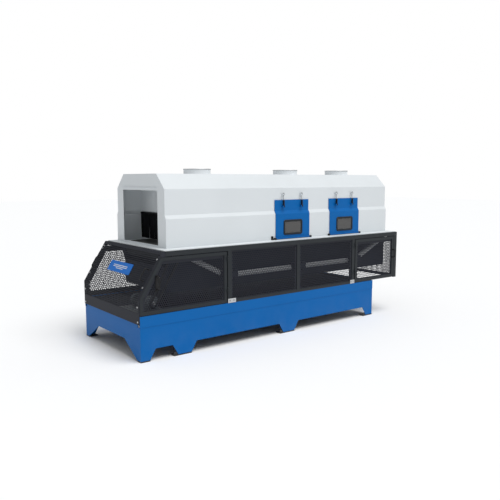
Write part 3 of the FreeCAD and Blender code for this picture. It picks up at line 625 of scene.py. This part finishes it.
# %% Read plates from a CAD node
def separate_plates(node):
    """The corner points of each separate plate in a CAD node."""
    bm = bmesh.new()
    bm.from_mesh(nodes[node].data)
    bmesh.ops.remove_doubles(bm, verts=bm.verts, dist=0.01 * MM)
    left = dict.fromkeys(bm.verts)
    plates = []
    while left:
        todo = [left.popitem()[0]]
        points = []
        while todo:
            vert = todo.pop()
            points.append(vert.co.copy())
            for edge in vert.link_edges:
                other = edge.other_vert(vert)
                if other in left:
                    del left[other]
                    todo.append(other)
        plates.append(points)
    bm.free()
    return plates


def solid_boxes(node):
    """The lowest and highest corner of each separate solid in a CAD node."""
    boxes = []
    for points in separate_plates(node):
        low = Vector(min(p[k] for p in points) for k in range(3))
        high = Vector(max(p[k] for p in points) for k in range(3))
        boxes.append((low, high))
    return boxes


print(len(separate_plates("fixed_mesh_panels")), "fixed panels")

# %% [markdown]
# ## Guard sheets
# The CAD gives each sheet as a thin plate. The punched sheet's outline is the hull of the
# plate's own corners, so it fits its frame exactly. It is one flat layer of faces: at this
# size, thousands of hole walls would never show.

# %% Punch the guards' sheets
SHEET_MARGIN = 4 * MM


def punch_plate(bm, points, margin):
    """Punched sheet in the middle plane of an upright plate."""
    spread = [max(p[k] for p in points) - min(p[k] for p in points) for k in range(3)]
    thin = spread.index(min(spread))
    wide = 1 - thin
    middle = sum(p[thin] for p in points) / len(points)
    flat = sorted({(round(p[wide], 5), round(p.z, 5)) for p in points})
    hull = [flat[i] for i in geometry.convex_hull_2d(flat)]
    area = sum(ax * by - bx * ay for (ax, ay), (bx, by) in zip(hull, hull[1:] + hull[:1]))
    if area < 0:
        hull.reverse()

    def to_space(u, v):
        return (middle, u, v) if thin == 0 else (u, middle, v)

    punched(bm, hull, margin, to_space)


for face in ("front", "rear"):
    for side in ("left", "right"):
        node = f"{face}_{side}_door_mesh"
        bm = bmesh.new()
        for plate in separate_plates(node):
            punch_plate(bm, plate, SHEET_MARGIN)
        settle(bm, f"{face}_{side}_door_sheet", "mesh_black", f"{face}_{side}_guard_door", [node])
bm = bmesh.new()
for plate in separate_plates("fixed_mesh_panels"):
    punch_plate(bm, plate, SHEET_MARGIN)
settle(bm, "fixed_punched_sheets", "mesh_black", "machine", ["fixed_mesh_panels"])

# %% [markdown]
# ## End cover
# The cover over the left end is one punched sheet, folded once at the knee so that its
# upper part leans in. It is laid out flat first, as the sheet-metal shop would do: s runs
# up the sheet and y across it. cover_point() then folds the flat sheet into place.

# %% Lay out the end cover
cover_low, cover_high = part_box("left_end_cover")
cover_points = [vert.co for vert in nodes["left_end_cover"].data.vertices]
knee = max(p.z for p in cover_points if p.x < cover_low.x + 0.1 * MM)
lip_x = min(p.x for p in cover_points if p.z > cover_high.z - 0.1 * MM)
COVER_THICK = 3 * MM
upright = knee - cover_low.z
lean = Vector((lip_x - cover_low.x, 0, cover_high.z - knee))
cover_length = upright + lean.length
lean.normalize()
lean_out = Vector((-lean.z, 0, lean.x))


def cover_point(s, y, out=0.0):
    """Folds a point of the flat cover into place; out is how far it stands off the face."""
    if s <= upright:
        return Vector((cover_low.x - out, y, cover_low.z + s))
    foot = Vector((cover_low.x, y, knee))
    return foot + lean * (s - upright) + lean_out * out


def folded_strip(bm, s_from, s_to, y_from, y_to):
    """A solid strip of the cover's margin, folded where it crosses the knee."""
    stations = [s_from] + ([upright] if s_from < upright < s_to else []) + [s_to]
    rings = []
    for s in stations:
        corners = [(y_from, 0), (y_to, 0), (y_to, -COVER_THICK), (y_from, -COVER_THICK)]
        rings.append([cover_point(s, y, out) for y, out in corners])
    shell(bm, rings)


print("end cover", round(cover_length, 3), "m long when flat, folded at", round(upright, 3))

# %% [markdown]
# The holes stop at a plain border, solid and 3 mm thick, with a deeper band at the foot.
# At the top a lip turns in, and an ear at each end of the lip closes the corner.

# %% Fold the end cover
COVER_MARGIN = 14 * MM
COVER_FOOT = 100 * MM
COVER_LIP = 22 * MM
EAR_REACH = 27.5 * MM
EAR_HEIGHT = 54 * MM
FOOT_LAP = 6 * MM


def cover_middle(y, s):
    return cover_point(s, y, -COVER_THICK / 2)


bm = bmesh.new()
wide = (cover_low.y, cover_high.y)
trim = COVER_MARGIN - SHEET_MARGIN
punch_low = COVER_FOOT - FOOT_LAP
punch_outline = [
    (wide[0] + trim, punch_low), (wide[1] - trim, punch_low),
    (wide[1] - trim, cover_length - trim), (wide[0] + trim, cover_length - trim),
]
punched(bm, punch_outline, SHEET_MARGIN, cover_middle)
folded_strip(bm, 0, cover_length, wide[0], wide[0] + COVER_MARGIN)
folded_strip(bm, 0, cover_length, wide[1] - COVER_MARGIN, wide[1])
inner = (wide[0] + COVER_MARGIN, wide[1] - COVER_MARGIN)
folded_strip(bm, 0, COVER_FOOT, *inner)
folded_strip(bm, cover_length - COVER_MARGIN, cover_length - COVER_THICK, *inner)
top = cover_high.z
block(bm, (lip_x, wide[0], top - COVER_THICK), (lip_x + COVER_LIP, wide[1], top))
ear_back = lip_x + EAR_REACH
for y_from, y_to in ((wide[0], wide[0] + COVER_THICK), (wide[1] - COVER_THICK, wide[1])):
    rings = []
    for y in (y_from, y_to):
        foot = cover_point(cover_length - EAR_HEIGHT, y, -COVER_THICK)
        head = cover_point(cover_length - COVER_THICK, y, -COVER_THICK)
        rings.append([foot, (ear_back, y, foot.z), (ear_back, y, head.z), head])
    shell(bm, rings)
settle(bm, "end_cover_sheet", "mesh_black", "end_cover", ["left_end_cover"])

# %% [markdown]
# ## Rubber lips under the guard doors
# The left doors clear the base by a few millimetres, so a thin rubber lip on each door's
# lower edge closes the gap and almost touches the base. It is a straight strip that
# stays with its door, and a plain box is enough for that.

# %% Fit the rubber lips
LIP_THICK = 3 * MM
LIP_CLEAR = 0.7 * MM
LIP_PAST_SHEET = 20 * MM
LIP_GRIP = 1 * MM
base_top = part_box("base_rim")[1].z
for face in ("front", "rear"):
    low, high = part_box(f"{face}_left_door_mesh")
    door_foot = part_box(f"{face}_left_door_frame")[0].z
    bm = bmesh.new()
    block(bm, (low.x - LIP_PAST_SHEET, low.y - LIP_THICK / 2, base_top + LIP_CLEAR),
          (high.x + LIP_PAST_SHEET, high.y + LIP_THICK / 2, door_foot + LIP_GRIP))
    settle(bm, f"{face}_left_door_lip", "seal_rubber", f"{face}_left_guard_door")

# %% [markdown]
# ## Strip curtains
# Rubber strips hang in the tunnel's mouth and keep dust in. Each is cut from roll stock,
# so it keeps a slight cup across its width and curls a little at the foot. A cloth
# simulation would do it, but stiff strips barely move, so the cup, the sway and the twist
# are written as small formulas, with a different share for each strip.

# %% Hang the strips
STRIPS = 10
SLIT = 3 * MM
STRIP_THICK = 3 * MM
CUP = 4 * MM
SWAY = 7 * MM
ROWS, COLUMNS = 12, 6


def rubber_strip(bm, x, y_from, y_to, top, bottom, sway, twist):
    """One strip as a stack of cross-sections, from its hem down to its foot."""
    rings = []
    for row in range(ROWS + 1):
        fall = row / ROWS
        near, far = [], []
        for column in range(COLUMNS + 1):
            across_share = column / COLUMNS - 0.5
            bow = CUP * (1 - 4 * across_share ** 2) * min(fall * 4, 1)
            at = x + bow + sway * fall ** 2 + twist * across_share * fall
            y = y_from + (y_to - y_from) * (across_share + 0.5)
            z = top + (bottom - top) * fall
            near.append((at, y, z))
            far.append((at + STRIP_THICK, y, z))
        rings.append(near + far[::-1])
    shell(bm, rings)


for name in ("entry", "exit"):
    low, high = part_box(f"{name}_curtain")
    middle = (low.x + high.x) / 2
    hem = (high.x - low.x) / 2
    axis_z = high.z - hem
    bm = bmesh.new()
    rod(bm, (middle, low.y, axis_z), (middle, high.y, axis_z), hem)
    pitch = (high.y - low.y) / STRIPS
    for i in range(STRIPS):
        start = low.y + i * pitch
        swing = math.sin(2.4 * i + len(name))
        span = (start + SLIT / 2, start + pitch - SLIT / 2)
        rubber_strip(bm, middle - STRIP_THICK, *span, axis_z, low.z, SWAY * swing, SWAY * math.cos(3.1 * i))
    settle(bm, f"{name}_strip_curtain", "curtain_rubber", f"{name}_flap", [f"{name}_curtain"])

# %% [markdown]
# ## Roller chain and sprockets
# A roller chain is a row of rollers one pitch apart. Its path is two arcs and two straight
# runs. An array along a curve would do it, but the count of links has to be even and the
# rollers have to close the loop, so chain_path() measures along the path instead.

# %% Lay out the chain's path
CHAIN_PITCH = 19.05 * MM
DRUM_TEETH = 15
MOTOR_TEETH = 10
axis_at = {joint["name"]: Vector(joint["pos_m"]) for joint in frame["joints"] if "pos_m" in joint}


def pitch_radius(teeth):
    return CHAIN_PITCH / (2 * math.sin(math.pi / teeth))


def chain_path():
    """Points one pitch apart round both sprockets, as x and z."""
    small_at, large_at = (Vector((axis_at[n].x, axis_at[n].z)) for n in ("motor_spin", "drive_drum_spin"))
    small, large = pitch_radius(MOTOR_TEETH), pitch_radius(DRUM_TEETH)
    run = large_at - small_at
    heading = math.atan2(run.y, run.x)
    tilt = math.acos((small - large) / run.length)
    straight = math.sqrt(run.length ** 2 - (large - small) ** 2)
    lengths = [straight, 2 * tilt * large, straight, 2 * (math.pi - tilt) * small]
    count = 2 * round(sum(lengths) / CHAIN_PITCH / 2)
    step = sum(lengths) / count

    def on_circle(centre, radius, angle):
        return centre + radius * Vector((math.cos(angle), math.sin(angle)))

    points = []
    for k in range(count):
        way = k * step
        if way < lengths[0]:
            a, b = (on_circle(c, r, heading + tilt) for c, r in ((small_at, small), (large_at, large)))
            points.append(a.lerp(b, way / straight))
        elif way < sum(lengths[:2]):
            points.append(on_circle(large_at, large, heading + tilt - (way - lengths[0]) / large))
        elif way < sum(lengths[:3]):
            a, b = (on_circle(c, r, heading - tilt) for c, r in ((large_at, large), (small_at, small)))
            points.append(a.lerp(b, (way - sum(lengths[:2])) / straight))
        else:
            points.append(on_circle(small_at, small, heading - tilt - (way - sum(lengths[:3])) / small))
    return points


rollers = chain_path()
print(len(rollers), "links")

# %% [markdown]
# Pairs of side plates join the rollers, and lie inside and outside in turn. One plate is
# an outline with two round ends and a waist, drawn in its own place for each link. A thin
# pin runs through each roller.

# %% Assemble the chain
LINK_RADIUS = 8.6 * MM
WAIST = 0.82
ROLLER_RADIUS = 5.9 * MM
PIN_RADIUS = 2.4 * MM
PIN_PROUD = 0.6 * MM
PLATE_THICK = 1.8 * MM
PLATE_GAP = 0.2 * MM
ROLLER_INSET = 2 * (PLATE_THICK + PLATE_GAP)
chain_low, chain_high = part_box("drive_chain")


def link_plate(bm, a, b, y_from, y_to):
    """A side plate: two round ends joined by a slightly waisted middle."""
    run = (b - a).normalized()
    side = Vector((-run.y, run.x))
    outline = []
    for centre, first in ((b, -75), (a, 105)):
        for k in range(6):
            angle = math.radians(first + 30 * k)
            outline.append(centre + (run * math.cos(angle) + side * math.sin(angle)) * LINK_RADIUS)
        outline.append((a + b) / 2 + side * LINK_RADIUS * (WAIST if first < 0 else -WAIST))
    shell(bm, [[(p.x, y, p.y) for p in outline] for y in (y_from, y_to)])


bm = bmesh.new()
for k, roller in enumerate(rollers):
    following = rollers[(k + 1) % len(rollers)]
    step_in = 0 if k % 2 else PLATE_THICK + PLATE_GAP
    near, far = chain_low.y + step_in, chain_high.y - step_in
    link_plate(bm, roller, following, near, near + PLATE_THICK)
    link_plate(bm, roller, following, far - PLATE_THICK, far)
    for inset, radius, sides in ((ROLLER_INSET, ROLLER_RADIUS, 12), (-PIN_PROUD, PIN_RADIUS, 8)):
        ends = [(roller.x, y, roller.y) for y in (chain_low.y + inset, chain_high.y - inset)]
        rod(bm, *ends, radius, sides)
settle(bm, "roller_chain", "chain_steel", "machine", ["drive_chain"])

# %% [markdown]
# A sprocket tooth rises from a round seat to a blunt tip. Half a tooth is drawn as a share
# of the tooth pitch and a rise in millimetres over the pitch circle, and mirrored. The
# wheel is turned so that its seats meet the chain's rollers.

# %% Cut the sprockets
HALF_TOOTH = [(0.16, -5.2), (0.29, -1.5), (0.41, 3.4)]
TOOTH = [(0.0, -6.2)] + HALF_TOOTH + [(0.5, 4.4)] + [(1 - share, rise) for share, rise in HALF_TOOTH[::-1]]


def toothed_wheel(bm, centre, teeth, y_from, y_to):
    """A sprocket whose seats line up with the chain's rollers."""
    radius = pitch_radius(teeth)
    nearest = min(rollers, key=lambda r: abs((r - Vector((centre.x, centre.z))).length - radius))
    phase = math.atan2(nearest.y - centre.z, nearest.x - centre.x)
    outline = []
    for k in range(teeth):
        for share, rise in TOOTH:
            angle = phase + 2 * math.pi * (k + share) / teeth
            outline.append(polar(centre.x, centre.z, radius + rise * MM, angle))
    shell(bm, [[(x, y, z) for x, z in outline] for y in (y_from, y_to)])


TEETH_INSET = 4.5 * MM
wheel_y = (chain_low.y + TEETH_INSET, chain_high.y - TEETH_INSET)
bm = bmesh.new()
toothed_wheel(bm, axis_at["drive_drum_spin"], DRUM_TEETH, *wheel_y)
settle(bm, "drum_sprocket_teeth", "bright_steel", "drive_drum")

shaft_low, shaft_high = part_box("motor_sprocket")
motor_axis = axis_at["motor_spin"]
HUB_RADIUS = 20 * MM
HUB_PAST_TEETH = 10 * MM
SHAFT_RADIUS = 12.5 * MM
bm = bmesh.new()
toothed_wheel(bm, motor_axis, MOTOR_TEETH, *wheel_y)
hub_end = wheel_y[1] + HUB_PAST_TEETH
for radius, y_from, y_to in ((SHAFT_RADIUS, shaft_low.y, shaft_high.y), (HUB_RADIUS, wheel_y[0], hub_end)):
    ends = [(motor_axis.x, y, motor_axis.z) for y in (y_from, y_to)]
    turned(bm, *ends, [(0, radius - 1 * MM), (0.03, radius), (0.97, radius), (1, radius - 1 * MM)], sides=32)
settle(bm, "motor_sprocket_wheel", "bright_steel", "motor_shaft", ["motor_sprocket"])

# %% [markdown]
# ## Gearmotor
# The motor that pulls the belt is a finned aluminium barrel on a cast gearbox, with a
# terminal box on its flank. An array modifier could repeat one fin, but a loop is as
# short. It sits where the CAD's three solids sit: foot plate, gearbox and barrel.

# %% Build the gearmotor
plate_box, gearbox_box, barrel_box = sorted(solid_boxes("gearmotor"), key=lambda corners: corners[0].z)
FINS = 28
FIN_SPAN = (0.07, 0.78)
FIN_DEPTH = 11 * MM
FIN_HALF = 1.2 * MM
FIN_TAPER = 0.6
FIN_ROOT = 0.97
RIB_PROUD = 3 * MM
RIB_FOOT = 6 * MM
RIB_TOP = 14 * MM
COWL_EDGE = 9 * MM
TERMINAL_BOX = (46 * MM, 92 * MM, 72 * MM)
TERMINAL_FROM = 50 * MM
TERMINAL_DROP = 32 * MM
TERMINAL_SUNK = 8 * MM
GLAND_LENGTH = 22 * MM
GLAND = [(0, 11 * MM), (0.5, 11 * MM), (0.55, 8 * MM), (1, 7 * MM)]
bm = bmesh.new()
block(bm, *plate_box, soft=1.5 * MM)
block(bm, *gearbox_box, soft=9 * MM)
low, high = gearbox_box
centre_x = motor_axis.x
for share in (0.3, 0.5, 0.7):
    y = low.y + (high.y - low.y) * share
    rib_low = (low.x - RIB_PROUD, y - RIB_PROUD, low.z + RIB_FOOT)
    block(bm, rib_low, (high.x + RIB_PROUD, y + RIB_PROUD, high.z - RIB_TOP), soft=1.5 * MM)
start, end = barrel_box[0].y, barrel_box[1].y
radius = (barrel_box[1].x - barrel_box[0].x) / 2
ends = [(centre_x, y, motor_axis.z) for y in (start, end)]
core = radius - FIN_DEPTH
cowl = radius - 1 * MM
barrel = [(0, radius), (0.06, radius), (FIN_SPAN[0], core), (FIN_SPAN[1], core)]
barrel += [(0.79, cowl), (0.95, cowl), (1, cowl - COWL_EDGE)]
turned(bm, *ends, barrel, sides=48)
for k in range(FINS):
    angle = 2 * math.pi * k / FINS
    out = Vector((math.cos(angle), 0, math.sin(angle)))
    along = Vector((-out.z, 0, out.x)) * FIN_HALF
    rings = []
    for share in FIN_SPAN:
        middle = Vector((centre_x, start + (end - start) * share, motor_axis.z))
        root = middle + out * core * FIN_ROOT
        tip = middle + out * radius
        rings.append([root - along, tip - along * FIN_TAPER, tip + along * FIN_TAPER, root + along])
    shell(bm, rings)
flank = centre_x + radius - TERMINAL_SUNK
box_low = Vector((flank, start + TERMINAL_FROM, motor_axis.z - TERMINAL_DROP))
box_high = box_low + Vector(TERMINAL_BOX)
block(bm, box_low, box_high, soft=5 * MM)
gland = ((box_low.x + box_high.x) / 2, box_high.y, motor_axis.z)
turned(bm, gland, (gland[0], gland[1] + GLAND_LENGTH, gland[2]), GLAND, sides=6)
settle(bm, "finned_gearmotor", "motor_grey", "machine", ["gearmotor"])

# %% [markdown]
# ## Window rubbers
# Each drop-down door has a smoked pane in a moulded rubber frame. The frame's rounded,
# grooved section is a list of insets and stand-offs, and a ring of points at each pair
# follows the rounded rectangle. That is surer at the corners than a bevelled curve.

# %% Mould the window seals
SEAL_PROUD = 7 * MM
SEAL_CORNER = 24.5 * MM
SEAL_SECTION = [(0, 0), (0, 4.2), (1.6, 6.2), (4.5, 7), (8, 6.6), (9, 5.2), (10.5, 5.2),
                (11.5, 6.4), (15, 6.6), (19, 5), (22, 2), (22.8, -1), (12, -3)]


def rounded_outline(half_x, half_z, radius, steps=8):
    """Points round a rounded rectangle about the origin."""
    points = []
    for sign_x, sign_z, first in ((1, 1, 0), (-1, 1, 90), (-1, -1, 180), (1, -1, 270)):
        for k in range(steps + 1):
            angle = math.radians(first + 90 * k / steps)
            points.append(polar(sign_x * (half_x - radius), sign_z * (half_z - radius), radius, angle))
    return points


for side in ("left", "right"):
    low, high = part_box(f"{side}_window_seal")
    middle = (low + high) / 2
    door_face = low.y + SEAL_PROUD
    half_x = (high.x - low.x) / 2
    half_z = (high.z - low.z) / 2
    bm = bmesh.new()
    rings = []
    for inset, stand_off in SEAL_SECTION:
        inset *= MM
        outline = rounded_outline(half_x - inset, half_z - inset, SEAL_CORNER - inset)
        rings.append([(middle.x + x, door_face - stand_off * MM, middle.z + z) for x, z in outline])
    shell(bm, rings, closed=True)
    replaced = [f"{side}_window_seal"]
    settle(bm, f"{side}_window_rubber", "seal_rubber", f"{side}_drop_door", replaced, crease=50)

# %% [markdown]
# ## Latches
# A latch swings on a pivot near the door's top: a black lever, then a bright rod up to a
# hexagon nut, held by a catch on the hood. Lever and rod are separate pieces, because
# each has its own finish, and both ride on the latch's own body.

# %% Make the latches
LEVER_HALF = 6 * MM
PIVOT = [(0, 7 * MM), (0.08, 8 * MM), (0.92, 8 * MM), (1, 7 * MM)]
PIVOT_HALF = 9 * MM
LEVER_DROP = 2 * MM
ROD_DROP = 4 * MM
ROD_RADIUS = 2.6 * MM
KNOB_RADIUS = 10 * MM
KNOB_HEIGHT = 13.6 * MM
NUT = [(0, 9 * MM), (0.5, 9 * MM), (0.55, 5 * MM), (1, 4 * MM)]
for side in ("left", "right"):
    door_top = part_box(f"{side}_inspection_door")[1].z
    for mark in "ab":
        node = f"{side}_door_latch_{mark}"
        low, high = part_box(node)
        pivot = axis_at[f"{side}_latch_{mark}_swing"]
        rod_y = high.y - KNOB_RADIUS
        bm = bmesh.new()
        ends = [(x, pivot.y, pivot.z) for x in (pivot.x - PIVOT_HALF, pivot.x + PIVOT_HALF)]
        turned(bm, *ends, PIVOT, sides=20)
        lever_low = (pivot.x - LEVER_HALF, pivot.y - LEVER_HALF, pivot.z)
        lever_high = (pivot.x + LEVER_HALF, rod_y + LEVER_HALF, door_top - LEVER_DROP)
        block(bm, lever_low, lever_high, soft=LEVER_HALF / 2)
        settle(bm, f"{node}_lever", "handle_black", f"{side}_latch_{mark}", [node])
        bm = bmesh.new()
        knob_foot = high.z - KNOB_HEIGHT
        rod_foot = (pivot.x, rod_y, door_top - ROD_DROP)
        rod(bm, rod_foot, (pivot.x, rod_y, knob_foot + 1 * MM), ROD_RADIUS, sides=12)
        turned(bm, (pivot.x, rod_y, knob_foot), (pivot.x, rod_y, high.z), NUT, sides=6)
        settle(bm, f"{node}_rod", "bright_steel", f"{side}_latch_{mark}")

# %% [markdown]
# ## Bolts
# Hexagon bolts hold the zinc-plated post plates and the motor's foot plate. A bolt head
# is a turned solid with six sides on a round washer, so one helper makes them all.

# %% Fit the bolts
WASHER_THICK = 1.2 * MM
WASHER_SUNK = 0.4 * MM
PLATE_BOLT = 6 * MM
MOTOR_BOLT = 8 * MM
MOTOR_BOLT_INSET = 25 * MM


def bolt(bm, at, out, size):
    """A washer and a chamfered hexagon head that stand out from a face."""
    at, out = Vector(at), Vector(out)
    head = at + out * WASHER_THICK
    rod(bm, at, head, size * 1.5, sides=20)
    turned(bm, head, head + out * size * 0.75, [(0, size), (0.7, size), (1, size * 0.8)], sides=6)


bm = bmesh.new()
for low, high in solid_boxes("post_plates"):
    out = Vector((0, -1 if low.y < 0 else 1, 0))
    face = low.y if low.y < 0 else high.y
    for share in (0.25, 0.75):
        x = low.x + (high.x - low.x) * share
        bolt(bm, (x, face - out.y * WASHER_SUNK, (low.z + high.z) / 2), out, PLATE_BOLT)
settle(bm, "post_plate_bolts", "bright_steel", "machine")

bm = bmesh.new()
low, high = plate_box
for x in (low.x + MOTOR_BOLT_INSET, high.x - MOTOR_BOLT_INSET):
    for y in (low.y + MOTOR_BOLT_INSET, high.y - MOTOR_BOLT_INSET):
        bolt(bm, (x, y, high.z), (0, 0, 1), MOTOR_BOLT)
settle(bm, "motor_foot_bolts", "bright_steel", "machine")

# %% [markdown]
# Two spring knobs stand on a small plate beside the left inspection door. Both have the
# same turned outline, a thin neck and a round head, at two sizes.

# %% Fit the spring knobs
KNOB_PLATE_OFF = 46 * MM
KNOB_PLATE_HALF = 14 * MM
KNOB_PLATE_THICK = 3 * MM
KNOB_PLATE_Z = (2 * MM, 40 * MM)
KNOB_PROFILE = [(0, 0.45), (0.45, 0.45), (0.5, 0.9), (0.6, 1), (0.9, 1), (1, 0.7)]
KNOBS = [(12 * MM, 24 * MM, 9 * MM), (31 * MM, 18 * MM, 5 * MM)]
door_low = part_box("left_inspection_door")[0]
table_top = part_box("hood_table")[1].z
wall_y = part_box("hood_front_wall")[0].y
knob_x = door_low.x - KNOB_PLATE_OFF
face_y = wall_y - KNOB_PLATE_THICK
plate_low = (knob_x - KNOB_PLATE_HALF, face_y, table_top + KNOB_PLATE_Z[0])
plate_high = (knob_x + KNOB_PLATE_HALF, wall_y, table_top + KNOB_PLATE_Z[1])
bm = bmesh.new()
block(bm, plate_low, plate_high, soft=1 * MM)
for rise, reach, radius in KNOBS:
    at = Vector((knob_x, face_y, table_top + rise))
    profile = [(share, radius * width) for share, width in KNOB_PROFILE]
    turned(bm, at, at - Vector((0, reach, 0)), profile, sides=20)
settle(bm, "spring_knobs", "handle_black", "machine")

# %% [markdown]
# ## Duct rims
# A duct's cut edge is rolled over a wire, which stiffens it and makes it safe to touch.
# The rim is a small closed section carried round the duct, above a ring of rivets.

# %% Roll the ducts' rims
COLLAR_FLANGE = 16 * MM
FLANGE_THICK = 3 * MM
RIM_SECTION = [(0, -9), (3, -9), (4.5, -6), (4.5, -3), (3, 0), (0, 0)]
RIM_SIDES = 64
RIVETS = 8
RIVET_HEIGHT = 2 * MM
RIVET_HEAD = [(0, 4 * MM), (0.6, 3.4 * MM), (1, 1.5 * MM)]
bm = bmesh.new()
for low, high in solid_boxes("duct_collars"):
    middle = (low + high) / 2
    flange_radius = (high.x - low.x) / 2
    outside = flange_radius - COLLAR_FLANGE
    rings = []
    turns = [2 * math.pi * k / RIM_SIDES for k in range(RIM_SIDES)]
    for out, rise in RIM_SECTION:
        rings.append([(*polar(*middle.xy, outside + out * MM, turn), high.z + rise * MM) for turn in turns])
    shell(bm, rings, closed=True)
    for k in range(RIVETS):
        turn = 2 * math.pi * (k + 0.5) / RIVETS
        at = (*polar(*middle.xy, (outside + flange_radius) / 2, turn), low.z + FLANGE_THICK)
        turned(bm, at, (at[0], at[1], at[2] + RIVET_HEIGHT), RIVET_HEAD, sides=12)
settle(bm, "duct_rims", "galvanised", "machine")

# %% [markdown]
# ## Name plate
# The plate on the end cover has a plain raised border and three bars in place of
# lettering. It is built in the flat cover's own s and y, then cover_point() leans it with
# the cover.

# %% Press the name plate
PLATE_RINGS = [(0, 0, 12), (0, 1.6, 12), (0.8, 2.4, 11.2)]
BORDER_RINGS = [(7, 2.2, 7), (7, 3.4, 7), (10.5, 3.4, 4), (10.5, 2.2, 4)]
BARS = [(16 * MM, 0.62), (0, 0.62), (-16 * MM, 0.30)]
BAR_HALF = 3.5 * MM
BAR_FOOT, BAR_TOP = 2.2 * MM, 3 * MM
low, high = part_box("name_plate")
s_range = [upright + (z - knee) / lean.z for z in (low.z, high.z)]
s_middle = sum(s_range) / 2
y_middle = (low.y + high.y) / 2
half_s = (s_range[1] - s_range[0]) / 2
half_y = (high.y - low.y) / 2


def plate_ring(inset, out, radius):
    """The plate's outline moved in, and out from the cover, in millimetres."""
    outline = rounded_outline(half_y - inset * MM, half_s - inset * MM, radius * MM, steps=5)
    return [cover_point(s_middle + s, y_middle + y, out * MM) for y, s in outline]


bm = bmesh.new()
shell(bm, [plate_ring(*ring) for ring in PLATE_RINGS])
shell(bm, [plate_ring(*ring) for ring in BORDER_RINGS], closed=True)
settle(bm, "blank_name_plate", "badge_blue", "end_cover", ["name_plate"])
bm = bmesh.new()
SQUARE = [(-1, -1), (1, -1), (1, 1), (-1, 1)]
for s_off, share in BARS:
    s_bar = s_middle + s_off
    half_bar = half_y * share
    rings = []
    for out in (BAR_FOOT, BAR_TOP):
        rings.append([cover_point(s_bar + b * BAR_HALF, y_middle + a * half_bar, out) for a, b in SQUARE])
    shell(bm, rings)
settle(bm, "name_plate_trim", "hood_white", "end_cover")

# %% [markdown] ## Floor The studio floor is one big white square, wide enough for its
# far edge to melt into the sky.

# %% Lay the floor
FLOOR_HALF = 40
floor_mesh = bpy.data.meshes.new("studio_floor")
floor_mesh.from_pydata([(x * FLOOR_HALF, y * FLOOR_HALF, 0) for x, y in SQUARE], [], [(0, 1, 2, 3)])
floor = bpy.data.objects.new("studio_floor", floor_mesh)
bpy.context.scene.collection.objects.link(floor)
surface = blank("floor_white")[1]
surface["Base Color"].default_value = (0.97, 0.97, 0.97, 1)
surface["Roughness"].default_value = 0.8
floor_mesh.materials.append(finish["floor_white"])
print("floor", 2 * FLOOR_HALF, "m wide")
